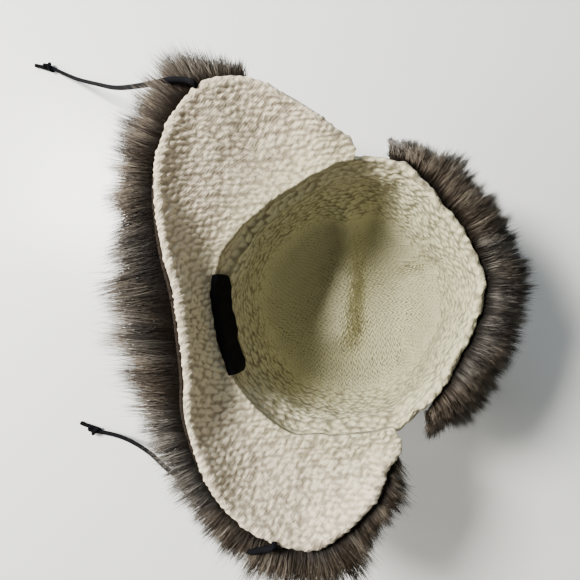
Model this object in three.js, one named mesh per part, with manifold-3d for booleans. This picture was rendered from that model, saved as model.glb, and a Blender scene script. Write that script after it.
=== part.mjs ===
// Cable knit trapper hat, lying crown down as it rests on a table.
// Millimetres, +Z up. The origin is the middle of the flat under the crown.
// -Y is the front of the hat (the peak), +Y its back (the neck band).
// An angle round the hat is 0 at the front, 90 at +X, 180 at the back.

import * as THREE from 'three';
import { mergeVertices } from 'three/addons/utils/BufferGeometryUtils.js';
import Module from 'manifold-3d';

const wasm = await Module();
wasm.setup();

// Driving sizes
const GAP = 0.35; // clearance between sewn pieces
const KNIT = 6; // thickness of the knit
const RIM_Z = 118; // height of the crown's rim as it lies
const RIM_R = 97; // outer radius of the rim before its waves
const LEAN = 6; // how far the rim's middle lies behind the base's middle
const ROLL = 4.5; // height of the rolled rim at the front
const CABLES = 12;
const CABLE_H = 4; // relief of a cable
const CABLE_TWIST = 34; // length of one cable crossing along the wall
const COLUMNS = 72; // columns round the crown
const FUR_GAP = 1.15; // under the lining, whose face bends more than the fur's flat facets
const FUR_BACKING = 2.6;
const PEAK_THICK = 7; // the peak is folded double
const PEAK_SPAN = 66; // it reaches this many degrees to each side
const PEAK_DEEP = 66; // and hangs this far down the outside
const CORD_D = 4;
const KNOT = { long: 17, wide: 9.5, high: 8.6, tail: 12 };

// Outside of the crown from its flat base to the rim
const OUTER_ROWS = [
  { z: 0, r: 26 },
  { z: 0, r: 52 },
  { z: 2.5, r: 61 },
  { z: 9, r: 71 },
  { z: 20, r: 80 },
  { z: 35, r: 87.5 },
  { z: 52, r: 92 },
  { z: 70, r: 94.5 },
  { z: 88, r: 96 },
  { z: 104, r: 97 },
  { z: 118, r: 97 },
];

// Inside of the crown from the rim down to the floor of the hollow
const INNER_ROWS = [
  { z: 118, r: 91 },
  { z: 107, r: 90.5 },
  { z: 90, r: 89.5 },
  { z: 72, r: 88 },
  { z: 55, r: 85.5 },
  { z: 40, r: 81.5 },
  { z: 27, r: 75 },
  { z: 17, r: 66.5 },
  { z: 10, r: 57 },
  { z: 6.6, r: 44 },
  { z: 6, r: 31 },
  { z: 6, r: 16 },
];

// Waves of the rim: its outer radius at angles round the hat
const RIM_WAVES = [
  { angle: 0, r: 94 },
  { angle: 20, r: 93 },
  { angle: 35, r: 94 },
  { angle: 48, r: 100 },
  { angle: 60, r: 106 },
  { angle: 72, r: 108 },
  { angle: 84, r: 106 },
  { angle: 96, r: 101 },
  { angle: 108, r: 97.5 },
  { angle: 124, r: 98 },
  { angle: 140, r: 102 },
  { angle: 152, r: 106 },
  { angle: 166, r: 106 },
  { angle: 180, r: 104 },
  { angle: 194, r: 105 },
  { angle: 208, r: 108 },
  { angle: 222, r: 109 },
  { angle: 236, r: 110 },
  { angle: 250, r: 103 },
  { angle: 264, r: 100 },
  { angle: 280, r: 99 },
  { angle: 294, r: 92 },
  { angle: 308, r: 88 },
  { angle: 322, r: 85 },
  { angle: 336, r: 87 },
  { angle: 348, r: 91 },
];

// Folds that stand up inside the hollow, each along a line seen from above
const FOLDS = [
  { x0: 84, y0: -4, x1: 20, y1: -3, wide: 14, high: 12 },
  { x0: 20, y0: -3, x1: -26, y1: 9, wide: 12, high: 11 },
  { x0: 34, y0: -66, x1: 10, y1: -44, wide: 9, high: 4 },
  { x0: -30, y0: -52, x1: -52, y1: -34, wide: 10, high: 5 },
  { x0: -66, y0: 34, x1: -36, y1: 40, wide: 10, high: 5 },
];

// Flaps and neck band: where each section leaves the rim, where its edge lies,
// how deep it is cupped and how far the fur stands out beyond that edge
const FLAP_ROWS = [
  { seam: 79, x: 111, y: -14, z: 125, cup: 1, fur: 8 },
  { seam: 86, x: 117, y: -1, z: 131, cup: 3, fur: 8 },
  { seam: 93, x: 128, y: 13, z: 138, cup: 7, fur: 8 },
  { seam: 100, x: 143, y: 32, z: 143, cup: 9, fur: 9 },
  { seam: 107, x: 155, y: 51, z: 147, cup: 11, fur: 12 },
  { seam: 113, x: 159, y: 68, z: 149, cup: 11, fur: 22 },
  { seam: 119, x: 155, y: 86, z: 151, cup: 10, fur: 42 },
  { seam: 125, x: 142, y: 102, z: 152, cup: 9, fur: 42 },
  { seam: 132, x: 122, y: 113, z: 153, cup: 8, fur: 39 },
  { seam: 140, x: 100, y: 120, z: 154, cup: 6, fur: 36 },
  { seam: 149, x: 77, y: 121, z: 155, cup: 4, fur: 33 },
  { seam: 160, x: 50, y: 120, z: 155, cup: 3, fur: 43 },
  { seam: 172, x: 20, y: 116, z: 155, cup: 2, fur: 54 },
  { seam: 184, x: -9, y: 116, z: 155, cup: 2, fur: 53 },
  { seam: 196, x: -36, y: 117, z: 155, cup: 3, fur: 48 },
  { seam: 208, x: -57, y: 120, z: 155, cup: 4, fur: 37 },
  { seam: 218, x: -79, y: 118, z: 154, cup: 6, fur: 30 },
  { seam: 227, x: -102, y: 112, z: 153, cup: 8, fur: 27 },
  { seam: 235, x: -121, y: 103, z: 152, cup: 9, fur: 26 },
  { seam: 242, x: -136, y: 87, z: 151, cup: 10, fur: 31 },
  { seam: 248, x: -147, y: 68, z: 149, cup: 11, fur: 36 },
  { seam: 254, x: -149, y: 51, z: 147, cup: 11, fur: 36 },
  { seam: 260, x: -141, y: 32, z: 143, cup: 9, fur: 24 },
  { seam: 266, x: -129, y: 15, z: 138, cup: 7, fur: 18 },
  { seam: 273, x: -114, y: 3, z: 131, cup: 3, fur: 15 },
  { seam: 280, x: -104, y: -12, z: 125, cup: 1, fur: 10 },
];
const FLAP_SECTIONS = 46;
const FLAP_STEPS = [0, 0.16, 0.34, 0.52, 0.7, 0.86, 1]; // from the rim's edge to the flap's

// Routes of the two tie cords, from the flap's tip to the knot on the table
const RIGHT_CORD = [
  { x: 164.5, y: 93.5, z: 151.5 },
  { x: 170, y: 104, z: 147 },
  { x: 184, y: 131, z: 125 },
  { x: 212, y: 172, z: 84 },
  { x: 244, y: 208, z: 45 },
  { x: 273, y: 244, z: 17 },
  { x: 288, y: 262, z: 7 },
  { x: 295, y: 271, z: 4.8 },
];
const LEFT_CORD = [
  { x: -150, y: 88, z: 149 },
  { x: -152.5, y: 97, z: 145 },
  { x: -150, y: 108, z: 135.5 },
  { x: -141, y: 131, z: 108 },
  { x: -130.5, y: 158, z: 77 },
  { x: -123, y: 189, z: 47 },
  { x: -112, y: 213, z: 27 },
  { x: -101, y: 241, z: 11 },
  { x: -95, y: 259, z: 6 },
  { x: -92.5, y: 268, z: 4.8 },
];
const RIGHT_TIE = 0.24; // share of the way round the flaps' edge where each cord is sewn in
const LEFT_TIE = 0.78;

// The label hangs from the seam between crown and neck band: its shape across, out from the
// seam's inner edge (y) and up from the rim (z), and how far its middle stands off the wall
const LABEL = { x0: 33, x1: -40, thick: 1.3, bulge: 4.5, bulgeFrom: 2.5, bulgeOver: 16.7 };
const LABEL_STRIP = [
  { y: 2, z: 8.6, ny: -0.2, nz: 1 },
  { y: -1.2, z: 7.4, ny: -0.6, nz: 0.8 },
  { y: -2.6, z: 2.5, ny: -0.95, nz: 0.3 },
  { y: -4.8, z: -6, ny: -0.95, nz: 0.3 },
  { y: -7.6, z: -14.2, ny: -0.95, nz: 0.3 },
];

// Helpers
const deg = Math.PI / 180;
const clamp01 = (v) => Math.min(1, Math.max(0, v));
const smooth = (v) => clamp01(v) ** 2 * (3 - 2 * clamp01(v));
const mix = (a, b, k) => a + (b - a) * k;
const out = (a) => new THREE.Vector3(Math.sin(a * deg), -Math.cos(a * deg), 0);

// A steady made-up number from 0 to 1 for each whole number
function chance(n) {
  const v = Math.sin(n * 127.1 + 11.7) * 43758.5453;
  return v - Math.floor(v);
}

// A column's value at an angle, smoothly between the rows of a table round the hat
function around(rows, column, angle) {
  const a = ((angle % 360) + 360) % 360;
  let i = rows.length - 1;
  while (rows[i].angle > a) i -= 1;
  const here = rows[i];
  const next = rows[(i + 1) % rows.length];
  const span = (next.angle - here.angle + 360) % 360;
  return mix(here[column], next[column], smooth((a - here.angle) / span));
}

// A grid of rings, each with the same number of points, closed by a fan at both ends
function loft(rings, firstMiddle, lastMiddle) {
  const n = rings[0].length;
  const points = rings.flat();
  const mean = (ring) => {
    const sum = ring.reduce((s, p) => s.add(p), new THREE.Vector3());
    return sum.divideScalar(n);
  };
  const last = (rings.length - 1) * n;
  points.push(firstMiddle ?? mean(rings[0]), lastMiddle ?? mean(rings.at(-1)));
  const index = [];
  for (let i = 0; i < n; i += 1) {
    const j = (i + 1) % n;
    index.push(points.length - 2, j, i);
    index.push(points.length - 1, last + i, last + j);
    for (let k = 0; k < last; k += n) {
      index.push(k + i, k + j, k + n + j, k + i, k + n + j, k + n + i);
    }
  }
  return closed(points, index);
}

// A geometry from points and triangles, turned so that its faces point outward
function closed(points, index) {
  let volume = 0;
  for (let i = 0; i < index.length; i += 3) {
    const [a, b, c] = [0, 1, 2].map((k) => points[index[i + k]]);
    volume += a.dot(b.clone().cross(c));
  }
  if (volume < 0) index.reverse();
  const geometry = new THREE.BufferGeometry();
  const flat = points.flatMap((p) => [p.x, p.y, p.z]);
  geometry.setAttribute('position', new THREE.Float32BufferAttribute(flat, 3));
  geometry.setIndex(index);
  return geometry;
}

function toSolid(geometry) {
  let g = geometry.clone();
  g.deleteAttribute('normal');
  g.deleteAttribute('uv');
  g = mergeVertices(g, 1e-4);
  const vertProperties = new Float32Array(g.attributes.position.array);
  const triVerts = new Uint32Array(g.index.array);
  return new wasm.Manifold(new wasm.Mesh({ numProp: 3, vertProperties, triVerts }));
}

function fromSolid(solid) {
  const mesh = solid.getMesh();
  const g = new THREE.BufferGeometry();
  const position = new Float32Array(mesh.vertProperties);
  g.setAttribute('position', new THREE.BufferAttribute(position, 3));
  g.setIndex(new THREE.BufferAttribute(new Uint32Array(mesh.triVerts), 1));
  return g;
}

// Crown
const rimRadius = (a) => around(RIM_WAVES, 'r', a);

// The hat's radius at an angle and height, from a profile radius: the rim's waves fade out downward
function waved(a, z, r) {
  return r * mix(1, rimRadius(a) / RIM_R, smooth((z - 10) / (RIM_Z - 18)));
}

const middleAt = (z) => LEAN * clamp01(z / RIM_Z);

// How far the folds stand in from the plain inside at a place seen from above
function foldHeight(x, y) {
  let high = 0;
  for (const f of FOLDS) {
    const [dx, dy] = [f.x1 - f.x0, f.y1 - f.y0];
    const k = clamp01(((x - f.x0) * dx + (y - f.y0) * dy) / (dx * dx + dy * dy));
    const d = Math.hypot(x - f.x0 - k * dx, y - f.y0 - k * dy);
    high = Math.max(high, f.high * Math.exp(-((d / f.wide) ** 2)));
  }
  return high;
}

// A cable's relief: a rounded rope whose two strands cross at every twist
function cableRelief(a, z, along) {
  const across = ((a / 360) * CABLES) % 1 - 0.5;
  const rope = Math.cos(clamp01(Math.abs(across) / 0.34) * Math.PI * 0.5) ** 0.7;
  const strands = 0.78 + 0.22 * Math.cos((along / CABLE_TWIST) * 2 * Math.PI + across * 9);
  const fade = smooth((z - 4) / 14) * smooth((RIM_Z - 4 - z) / 9);
  return CABLE_H * rope * strands * fade;
}

// A point on the outside of the crown, lifted off it by some distance
function outside(a, z, r, lift) {
  const p = out(a).multiplyScalar(waved(a, z, r) + lift);
  return p.add(new THREE.Vector3(0, middleAt(z), z));
}

const angles = Array.from({ length: COLUMNS }, (_, i) => (i * 360) / COLUMNS);

// The rim is rolled at the front, where no flap is sewn to it
const rolled = (a) => smooth((72 - Math.abs(((a + 180) % 360) - 180)) / 14);

function outerRing(row, k) {
  const along = OUTER_ROWS.slice(0, k).reduce((s, p, i) => {
    const q = OUTER_ROWS[i + 1];
    return s + Math.hypot(q.z - p.z, q.r - p.r);
  }, 0);
  return angles.map((a) => {
    const dent = foldDent(a, row.z, row.r);
    return outside(a, row.z, row.r, cableRelief(a, row.z, along) - dent);
  });
}

// Above the floor the wall goes in with its folds
function foldDent(a, z, r) {
  const p = outside(a, z, r, 0);
  return foldHeight(p.x, p.y) * smooth((z - 16) / 22) * wallShare(z);
}

// Folds are full on the floor and flatten toward the rim
const wallShare = (z) => mix(1, 0, smooth((z - 20) / 80));

function innerRing(row, k) {
  const before = INNER_ROWS[Math.max(0, k - 1)];
  const after = INNER_ROWS[Math.min(INNER_ROWS.length - 1, k + 1)];
  const slope = new THREE.Vector2(after.r - before.r, after.z - before.z).normalize();
  return angles.map((a) => {
    const p = outside(a, row.z, row.r, 0);
    const high = foldHeight(p.x, p.y) * wallShare(row.z);
    p.addScaledVector(out(a), slope.y * high);
    p.z -= slope.x * high;
    return p;
  });
}

function rimRing(lift, r) {
  return angles.map((a) => {
    const swell = rolled(a);
    const wide = r + (r - 94) * 0.6 * swell;
    const p = outside(a, RIM_Z, wide, 0);
    p.z += lift * ROLL * swell;
    return p;
  });
}

const crownRings = [
  ...OUTER_ROWS.map(outerRing),
  rimRing(0.75, 96.2),
  rimRing(1, 94),
  rimRing(0.75, 91.8),
  ...INNER_ROWS.map(innerRing),
];
const floorMiddle = new THREE.Vector3(0, 0, 6 + foldHeight(0, 0));
const crownGeometry = loft(crownRings, new THREE.Vector3(0, 0, 0), floorMiddle);

// Flaps and neck band
const seamLine = new THREE.CatmullRomCurve3(
  FLAP_ROWS.map((row) => new THREE.Vector3(row.seam, row.cup, row.fur)),
  false,
  'catmullrom',
  0.5,
);
const edgeLine = new THREE.CatmullRomCurve3(
  FLAP_ROWS.map((row) => new THREE.Vector3(row.x, row.y, row.z)),
  false,
  'catmullrom',
  0.5,
);

// How far a place lies outside the rim, seen from above
function beyondRim(p) {
  const a = Math.atan2(p.x, LEAN - p.y) / deg;
  return Math.hypot(p.x, p.y - LEAN) - rimRadius(a);
}

// The upper face of a section at w, from the rim at v = 0 to the edge at v = 1
function flapPoint(w, v) {
  const { x: seam, y: cup } = seamLine.getPoint(w);
  const edge = edgeLine.getPoint(w);
  const start = outside(seam, RIM_Z, RIM_R, -KNIT);
  start.z = RIM_Z + GAP + KNIT;
  const flat = new THREE.Vector3(edge.x - start.x, edge.y - start.y, 0);
  const reach = flat.length();
  flat.normalize();
  const rise = edge.z - start.z;
  const near = start.clone().addScaledVector(flat, Math.max(7, reach * 0.35));
  near.z -= cup * 0.5;
  const far = start.clone().addScaledVector(flat, reach * 0.84);
  far.z += rise * 0.42 - cup;
  const p = new THREE.CubicBezierCurve3(start, near, far, edge).getPoint(v);
  if (beyondRim(p) < 2.5) p.z = Math.max(p.z, RIM_Z + GAP + KNIT - 0.2);
  return p;
}

// The direction that the upper face looks, and the way out of the hat along it
function flapNormal(w, v) {
  const d = 0.004;
  const along = flapPoint(Math.min(1, w + d), v).sub(flapPoint(Math.max(0, w - d), v));
  const across = flapPoint(w, Math.min(1, v + 0.03)).sub(flapPoint(w, Math.max(0, v - 0.03)));
  return across.cross(along).normalize();
}

// Where a section passes over the outer edge of the rim
function rimStep(w) {
  let v = 0.02;
  while (v < 0.7 && beyondRim(flapPoint(w, v)) < 1.5) v += 0.01;
  return v;
}

// The lower face: flat on the rim, and beyond it at a depth below the upper face
function flapUnder(w, v, depth) {
  const p = flapPoint(w, v);
  if (v <= rimStep(w)) return p.setZ(RIM_Z + GAP - (depth - KNIT));
  return p.addScaledVector(flapNormal(w, v), -depth);
}

// One section of the knit, with its rounded edge, made bigger all round by some room
function flapSection(w, room) {
  const onRim = rimStep(w);
  const steps = [0, onRim / 2, ...FLAP_STEPS.map((k) => mix(onRim, 1, k))];
  const top = steps.map((v) => flapPoint(w, v).addScaledVector(flapNormal(w, v), room));
  const under = steps.map((v) => flapUnder(w, v, KNIT + room));
  const outward = flapPoint(w, 1).sub(flapPoint(w, 0.93)).normalize();
  const edge = flapPoint(w, 1).add(flapUnder(w, 1, KNIT)).multiplyScalar(0.5);
  const tip = edge.addScaledVector(outward, 2.6 + room * 1.5);
  return [...top, tip, ...under.reverse()];
}

const wide = Array.from({ length: FLAP_SECTIONS }, (_, i) => i / (FLAP_SECTIONS - 1));
const liningGeometry = loft(wide.map((w) => flapSection(w, 0)));

// Tie cords and their knots
function cordPath(w, rows) {
  const edge = flapPoint(w, 1).add(flapUnder(w, 1, KNIT)).multiplyScalar(0.5);
  const outward = flapPoint(w, 1).sub(flapPoint(w, 0.93)).normalize();
  const sewn = [2.6 + 2 * GAP, 6].map((k) => edge.clone().addScaledVector(outward, k));
  const route = rows.map((row) => new THREE.Vector3(row.x, row.y, row.z));
  return new THREE.CatmullRomCurve3([...sewn, ...route], false, 'centripetal');
}
const rightPath = cordPath(RIGHT_TIE, RIGHT_CORD);
const leftPath = cordPath(LEFT_TIE, LEFT_CORD);

function round(diameter, sides = 8) {
  const shape = new THREE.Shape();
  for (let i = 0; i < sides; i += 1) {
    const a = (i / sides) * 2 * Math.PI;
    const [x, y] = [Math.cos(a), Math.sin(a)].map((v) => (v * diameter) / 2);
    if (i) shape.lineTo(x, y);
    else shape.moveTo(x, y);
  }
  return shape;
}

function tube(path, diameter, steps) {
  const options = { steps, extrudePath: path, bevelEnabled: false };
  return new THREE.ExtrudeGeometry(round(diameter), options);
}

// A knot in line with the end of its cord, with a short tail lying beside it
function knotGeometry(path, side) {
  const end = path.getPoint(1);
  const ahead = path.getTangent(1).setZ(0).normalize();
  const beside = new THREE.Vector3(-ahead.y * side, ahead.x * side, 0);
  const body = new THREE.SphereGeometry(1, 12, 8);
  body.scale(KNOT.long / 2, KNOT.wide / 2, KNOT.high / 2);
  body.rotateZ(Math.atan2(ahead.y, ahead.x));
  const middle = end.clone().addScaledVector(ahead, KNOT.long / 2 + GAP);
  middle.z = KNOT.high / 2 + 0.2;
  body.translate(middle.x, middle.y, middle.z);
  const low = CORD_D / 2 + 0.2;
  const tail = [0, 0.5, 1].map((k) => {
    const p = middle.clone().addScaledVector(ahead, 3 + KNOT.tail * k);
    p.addScaledVector(beside, 1.5 + 3 * k);
    p.z = low;
    return p;
  });
  const short = tube(new THREE.CatmullRomCurve3(tail), CORD_D, 3);
  return fromSolid(toSolid(body).add(toSolid(short)));
}

const rightCord = tube(rightPath, CORD_D, 28);
const leftCord = tube(leftPath, CORD_D, 28);
const rightKnot = knotGeometry(rightPath, 1);
const leftKnot = knotGeometry(leftPath, -1);

// The inside of the back wall at some x and height, seen along the hat
function backWall(x, z) {
  let i = 0;
  while (INNER_ROWS[i + 1].z > z) i += 1;
  const [p, q] = [INNER_ROWS[i], INNER_ROWS[i + 1]];
  const r = mix(p.r, q.r, (z - p.z) / (q.z - p.z));
  let y = 100;
  for (let k = 0; k < 8; k += 1) {
    const a = Math.atan2(x, -y) / deg;
    y = Math.sqrt(waved(a, z, r) ** 2 - x * x);
  }
  return y + middleAt(z);
}

// Label: a strip over the seam, whose lower edge stands off the wall
function labelRing(k) {
  const x = mix(LABEL.x0, LABEL.x1, k);
  const seam = backWall(x, RIM_Z);
  const arch = LABEL.bulge * Math.sin(Math.PI * k) ** 0.7;
  const strip = LABEL_STRIP.map((s) => {
    const off = arch * clamp01((LABEL.bulgeFrom - s.z) / LABEL.bulgeOver) ** 1.2;
    return new THREE.Vector3(x, seam + s.y - off, RIM_Z + s.z);
  });
  const front = strip.map((p, i) => {
    const { ny, nz } = LABEL_STRIP[i];
    return p.clone().add(new THREE.Vector3(0, ny, nz).multiplyScalar(LABEL.thick));
  });
  return [...strip, ...front.reverse()];
}
const labelGeometry = loft(Array.from({ length: 13 }, (_, i) => labelRing(i / 12)));

// Peak: a slab folded down over the front of the crown
const peakTop = (a) => mix(116, 117.5, smooth((PEAK_SPAN - Math.abs(a)) / 20));
const peakDeep = (a) => PEAK_DEEP * (0.3 + 0.7 * Math.cos((a / PEAK_SPAN) * 84 * deg) ** 0.55);

function profileRadius(z) {
  let i = OUTER_ROWS.length - 2;
  while (i > 1 && OUTER_ROWS[i].z > z) i -= 1;
  const [p, q] = [OUTER_ROWS[i], OUTER_ROWS[i + 1]];
  return mix(p.r, q.r, clamp01((z - p.z) / (q.z - p.z)));
}

// A point of the peak at depth d (0 at the rim, 1 at its hanging edge), lifted off the crown
function peakPoint(a, d, lift) {
  const z = peakTop(a) - peakDeep(a) * d;
  const clear = 0.9 + CABLE_H * smooth((RIM_Z - 2 - z) / 10) + 5 * d;
  return outside(a, z, profileRadius(z), clear + lift);
}

// A backing whose outer face is drawn out into rows of pointed locks, closed at both ends.
// near and far give its two faces at w along it and k across it, and tip gives a lock's end.
function shaggy(count, rows, near, far, tip) {
  const across = [0, 0.18, 0.36, 0.54, 0.76, 1];
  const rings = Array.from({ length: count }, (_, i) => {
    const w = i / (count - 1);
    const ring = across.map((k) => near(w, k));
    ring.push(far(w, 1));
    rows.forEach((row, j) => {
      const grows = (i + j) % 2 === 1 && i > 0 && i < count - 1;
      ring.push(grows ? tip(w, row, i * 7 + j) : far(w, row.at));
      ring.push(far(w, row.next));
    });
    return ring;
  });
  return loft(rings);
}

// A lock's length, cut short where it would come near a cord
function clearOf(paths, root, way, long) {
  for (const path of paths) {
    for (let k = 0.1; k <= 1; k += 0.1) {
      const p = root.clone().addScaledVector(way, long * k);
      const near = path.getPoints(90).some((q) => q.distanceTo(p) < 7.5);
      if (near) return long * Math.max(0.12, k - 0.3);
    }
  }
  return long;
}

// Locks of the peak, row by row from its hanging edge up to the rim
const PEAK_LOCKS = [
  { at: 0.94, next: 0.8, long: 26, rise: -0.5 },
  { at: 0.68, next: 0.54, long: 26, rise: -0.15 },
  { at: 0.42, next: 0.28, long: 26, rise: 0.12 },
  { at: 0.14, next: 0, long: 24, rise: 0.4 },
];
const PEAK_ENDS = { share: 0.55, over: 16 }; // toward each end, over so many degrees, locks shorten
const peakAngle = (w) => mix(-PEAK_SPAN, PEAK_SPAN, w);
const peakSolid = toSolid(
  shaggy(
    50,
    PEAK_LOCKS,
    (w, k) => peakPoint(peakAngle(w), k, 0),
    (w, k) => peakPoint(peakAngle(w), k, PEAK_THICK),
    (w, row, n) => {
      const a = peakAngle(w);
      const turn = (chance(n) - 0.5) * 26 + a * 0.1;
      const end = mix(PEAK_ENDS.share, 1, smooth((PEAK_SPAN - Math.abs(a)) / PEAK_ENDS.over));
      const way = out(a + turn).setZ(row.rise + (chance(n + 500) - 0.5) * 0.3);
      const long = row.long * end * mix(0.8, 1.1, chance(n + 900));
      return peakPoint(a, row.at, PEAK_THICK).addScaledVector(way.normalize(), long);
    },
  ),
);

// The flaps' fur has a thin backing under the lining, clear of the crown's wall
function backingStart(w) {
  let v = 0.02;
  while (v < 0.8 && beyondRim(flapUnder(w, v, KNIT + GAP)) < 3.4) v += 0.02;
  return v;
}

// Locks of the flaps and neck band, row by row from the edge inward. A lock is as long
// as the fur stands out there times its share, and never shorter than the least.
const FLAP_LOCKS = [
  { at: 0.93, next: 0.8, share: 1.1, least: 14, rise: 0.1, down: 0.1 },
  { at: 0.67, next: 0.53, share: 0.85, least: 18, rise: 0, down: 0.5 },
  { at: 0.4, next: 0.27, share: 0.65, least: 22, rise: -0.15, down: 0.9 },
  { at: 0.14, next: 0, share: 0.5, least: 22, rise: -0.3, down: 1.2 },
];
const paths = [rightPath, leftPath];
const onFlap = (w) => mix(0.012, 0.988, w);
function flapFace(w, k, depth) {
  return flapUnder(onFlap(w), mix(backingStart(onFlap(w)), 1, k), KNIT + FUR_GAP + depth);
}

function flapTip(w, row, n) {
  const along = edgeLine.getTangent(onFlap(w)).setZ(0).normalize();
  const level = new THREE.Vector3(along.y, -along.x, 0);
  const v = mix(backingStart(onFlap(w)), 1, row.at);
  const under = flapNormal(onFlap(w), v).negate();
  const way = level.addScaledVector(under, row.down);
  way.addScaledVector(along, (chance(n) - 0.5) * 0.5);
  way.z += row.rise + (chance(n + 500) - 0.5) * 0.2;
  way.normalize();
  const root = flapFace(w, row.at, FUR_BACKING);
  const standOut = seamLine.getPoint(onFlap(w)).z * row.share;
  const long = Math.max(row.least, standOut) * mix(0.82, 1.1, chance(n + 900));
  return root.addScaledVector(way, clearOf(paths, root.clone(), way, long));
}

const flapFur = shaggy(
  82,
  FLAP_LOCKS,
  (w, k) => flapFace(w, k, 0),
  (w, k) => flapFace(w, k, FUR_BACKING),
  flapTip,
);
let flapFurSolid = toSolid(flapFur);
for (const path of paths) {
  flapFurSolid = flapFurSolid.subtract(toSolid(tube(path, CORD_D + 2 * GAP, 28)));
}

// The hat
const knitLook = { color: 0xe4dcc4, roughness: 0.95, metalness: 0 };
const LOOKS = {
  knit: new THREE.MeshStandardMaterial(knitLook),
  fur: new THREE.MeshStandardMaterial({ color: 0x5d4c3d, roughness: 0.9, metalness: 0 }),
  label: new THREE.MeshStandardMaterial({ color: 0x0b0b0e, roughness: 0.7, metalness: 0 }),
  cord: new THREE.MeshStandardMaterial({ color: 0x0a0a0d, roughness: 0.6, metalness: 0 }),
};

const hat = new THREE.Group();
function piece(name, geometry, look) {
  const mesh = new THREE.Mesh(geometry, LOOKS[look].clone());
  mesh.name = name;
  hat.add(mesh);
}
piece('crown', crownGeometry, 'knit');
piece('flap_lining', liningGeometry, 'knit');
piece('flap_fur', fromSolid(flapFurSolid), 'fur');
piece('peak_fur', fromSolid(peakSolid), 'fur');
piece('label', labelGeometry, 'label');
piece('tie_cord_right', rightCord, 'cord');
piece('tie_cord_left', leftCord, 'cord');
piece('tie_knot_right', rightKnot, 'cord');
piece('tie_knot_left', leftKnot, 'cord');

export default hat;
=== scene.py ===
# %% [markdown]
# # A cable knit trapper hat
# The hat lies upside down on its crown, so we look into it from above. It is a knitted
# cap, one knitted piece that makes both ear flaps and the band at the neck, deep fur on
# the outside of the flaps and on the folded peak, a woven label and two tie cords.
# Knit can be painted on with a bump alone, or every stitch can be real relief. Here the
# big stitches are relief in the mesh and only the fibres of the yarn are bump, because
# the light that grazes the walls shows each loop.

import bpy
import numpy as np
from mathutils import Matrix, Vector


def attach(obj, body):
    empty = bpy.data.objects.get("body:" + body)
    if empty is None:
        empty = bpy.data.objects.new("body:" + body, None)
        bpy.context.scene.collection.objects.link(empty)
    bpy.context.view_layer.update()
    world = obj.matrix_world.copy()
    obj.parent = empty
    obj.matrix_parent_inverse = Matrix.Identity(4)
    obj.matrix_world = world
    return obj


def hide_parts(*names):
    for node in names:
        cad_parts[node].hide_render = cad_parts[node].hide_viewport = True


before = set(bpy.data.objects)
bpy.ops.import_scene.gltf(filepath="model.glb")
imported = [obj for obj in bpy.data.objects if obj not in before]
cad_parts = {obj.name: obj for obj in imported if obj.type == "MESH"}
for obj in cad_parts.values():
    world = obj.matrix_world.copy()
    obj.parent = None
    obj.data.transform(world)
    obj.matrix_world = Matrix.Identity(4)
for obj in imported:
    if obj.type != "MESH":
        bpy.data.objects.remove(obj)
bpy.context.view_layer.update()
MM = 0.001
print("nodes:", ", ".join(sorted(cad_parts)))

# %% [markdown]
# ## Small tools for shapes
# All lengths below are millimetres, in the model's own frame: +Z up, the front of the
# hat toward -Y. Angles round the hat are degrees from the front toward +X. Every shape
# is worked out for whole arrays at once, which is quick and keeps the formulas short.


# %% Blending, directions and steady chance
def clamp01(v):
    """v kept between 0 and 1."""
    return np.clip(v, 0.0, 1.0)


def smooth(v):
    """0 below 0, 1 above 1, and a slow start and stop between: v squared times (3 - 2v)."""
    v = clamp01(v)
    return v * v * (3 - 2 * v)


def mix(a, b, k):
    """From a at k = 0 to b at k = 1 in a straight line."""
    return a + (b - a) * k


def unit(v):
    """Each vector divided by its own length."""
    return v / np.maximum(np.linalg.norm(v, axis=-1, keepdims=True), 1e-9)


def out(a):
    """The level direction at angle a round the hat: sine of a along X, minus cosine along Y."""
    a = np.radians(a)
    return np.stack([np.sin(a), -np.cos(a), np.zeros_like(a)], -1)


def turn_from(b, a):
    """The turn from angle b to angle a in degrees, the short way round."""
    return (a - b + 180) % 360 - 180


def cubic(b, rise, c, run, k):
    """The cubic that leaves b with the slope rise at k = 0 and meets c with the slope run
    at k = 1: the four are weighed by 2k^3 - 3k^2 + 1, k^3 - 2k^2 + k, 3k^2 - 2k^3 and
    k^3 - k^2."""
    return (
        (2 * k**3 - 3 * k**2 + 1) * b
        + (k**3 - 2 * k**2 + k) * rise
        + (3 * k**2 - 2 * k**3) * c
        + (k**3 - k**2) * run
    )


def along_rows(rows, t):
    """Points at shares t along a table: a cubic between two rows, whose slope at a row is
    half the step between the rows before and after it."""
    rows = np.asarray(rows, float)
    rows = np.vstack([2 * rows[0] - rows[1], rows, 2 * rows[-1] - rows[-2]])
    p = clamp01(np.asarray(t, float)) * (len(rows) - 3)
    i = np.minimum(p.astype(int), len(rows) - 4)
    a, b, c, d = (rows[i + j] for j in range(4))
    return cubic(b, (c - a) / 2, c, (d - b) / 2, (p - i)[..., None])


FINE = 1500  # points of a finely drawn profile


def even_steps(rows, step):
    """The same curve as along_rows, as points about one step apart along its length."""
    fine = along_rows(rows, np.linspace(0, 1, FINE))
    length = np.r_[0, np.cumsum(np.linalg.norm(np.diff(fine[:, :3], axis=0), axis=1))]
    at = np.linspace(0, length[-1], max(2, int(round(length[-1] / step)) + 1))
    return np.stack([np.interp(at, length, c) for c in fine.T], -1), at


def ripple(x, y, seed, scale):
    """A soft made-up surface from -1 to 1: five sine waves across x and y, whose
    directions and lengths come from a seeded list, added and divided by their number."""
    dice = np.random.default_rng(seed)
    total = 0
    for _ in range(5):
        turn, size, shift = dice.uniform(0, 6.28), dice.uniform(0.7, 1.6), dice.uniform(0, 6.28)
        total = total + np.sin((x * np.cos(turn) + y * np.sin(turn)) / (scale * size) * 6.28 + shift)
    return total / 5


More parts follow.
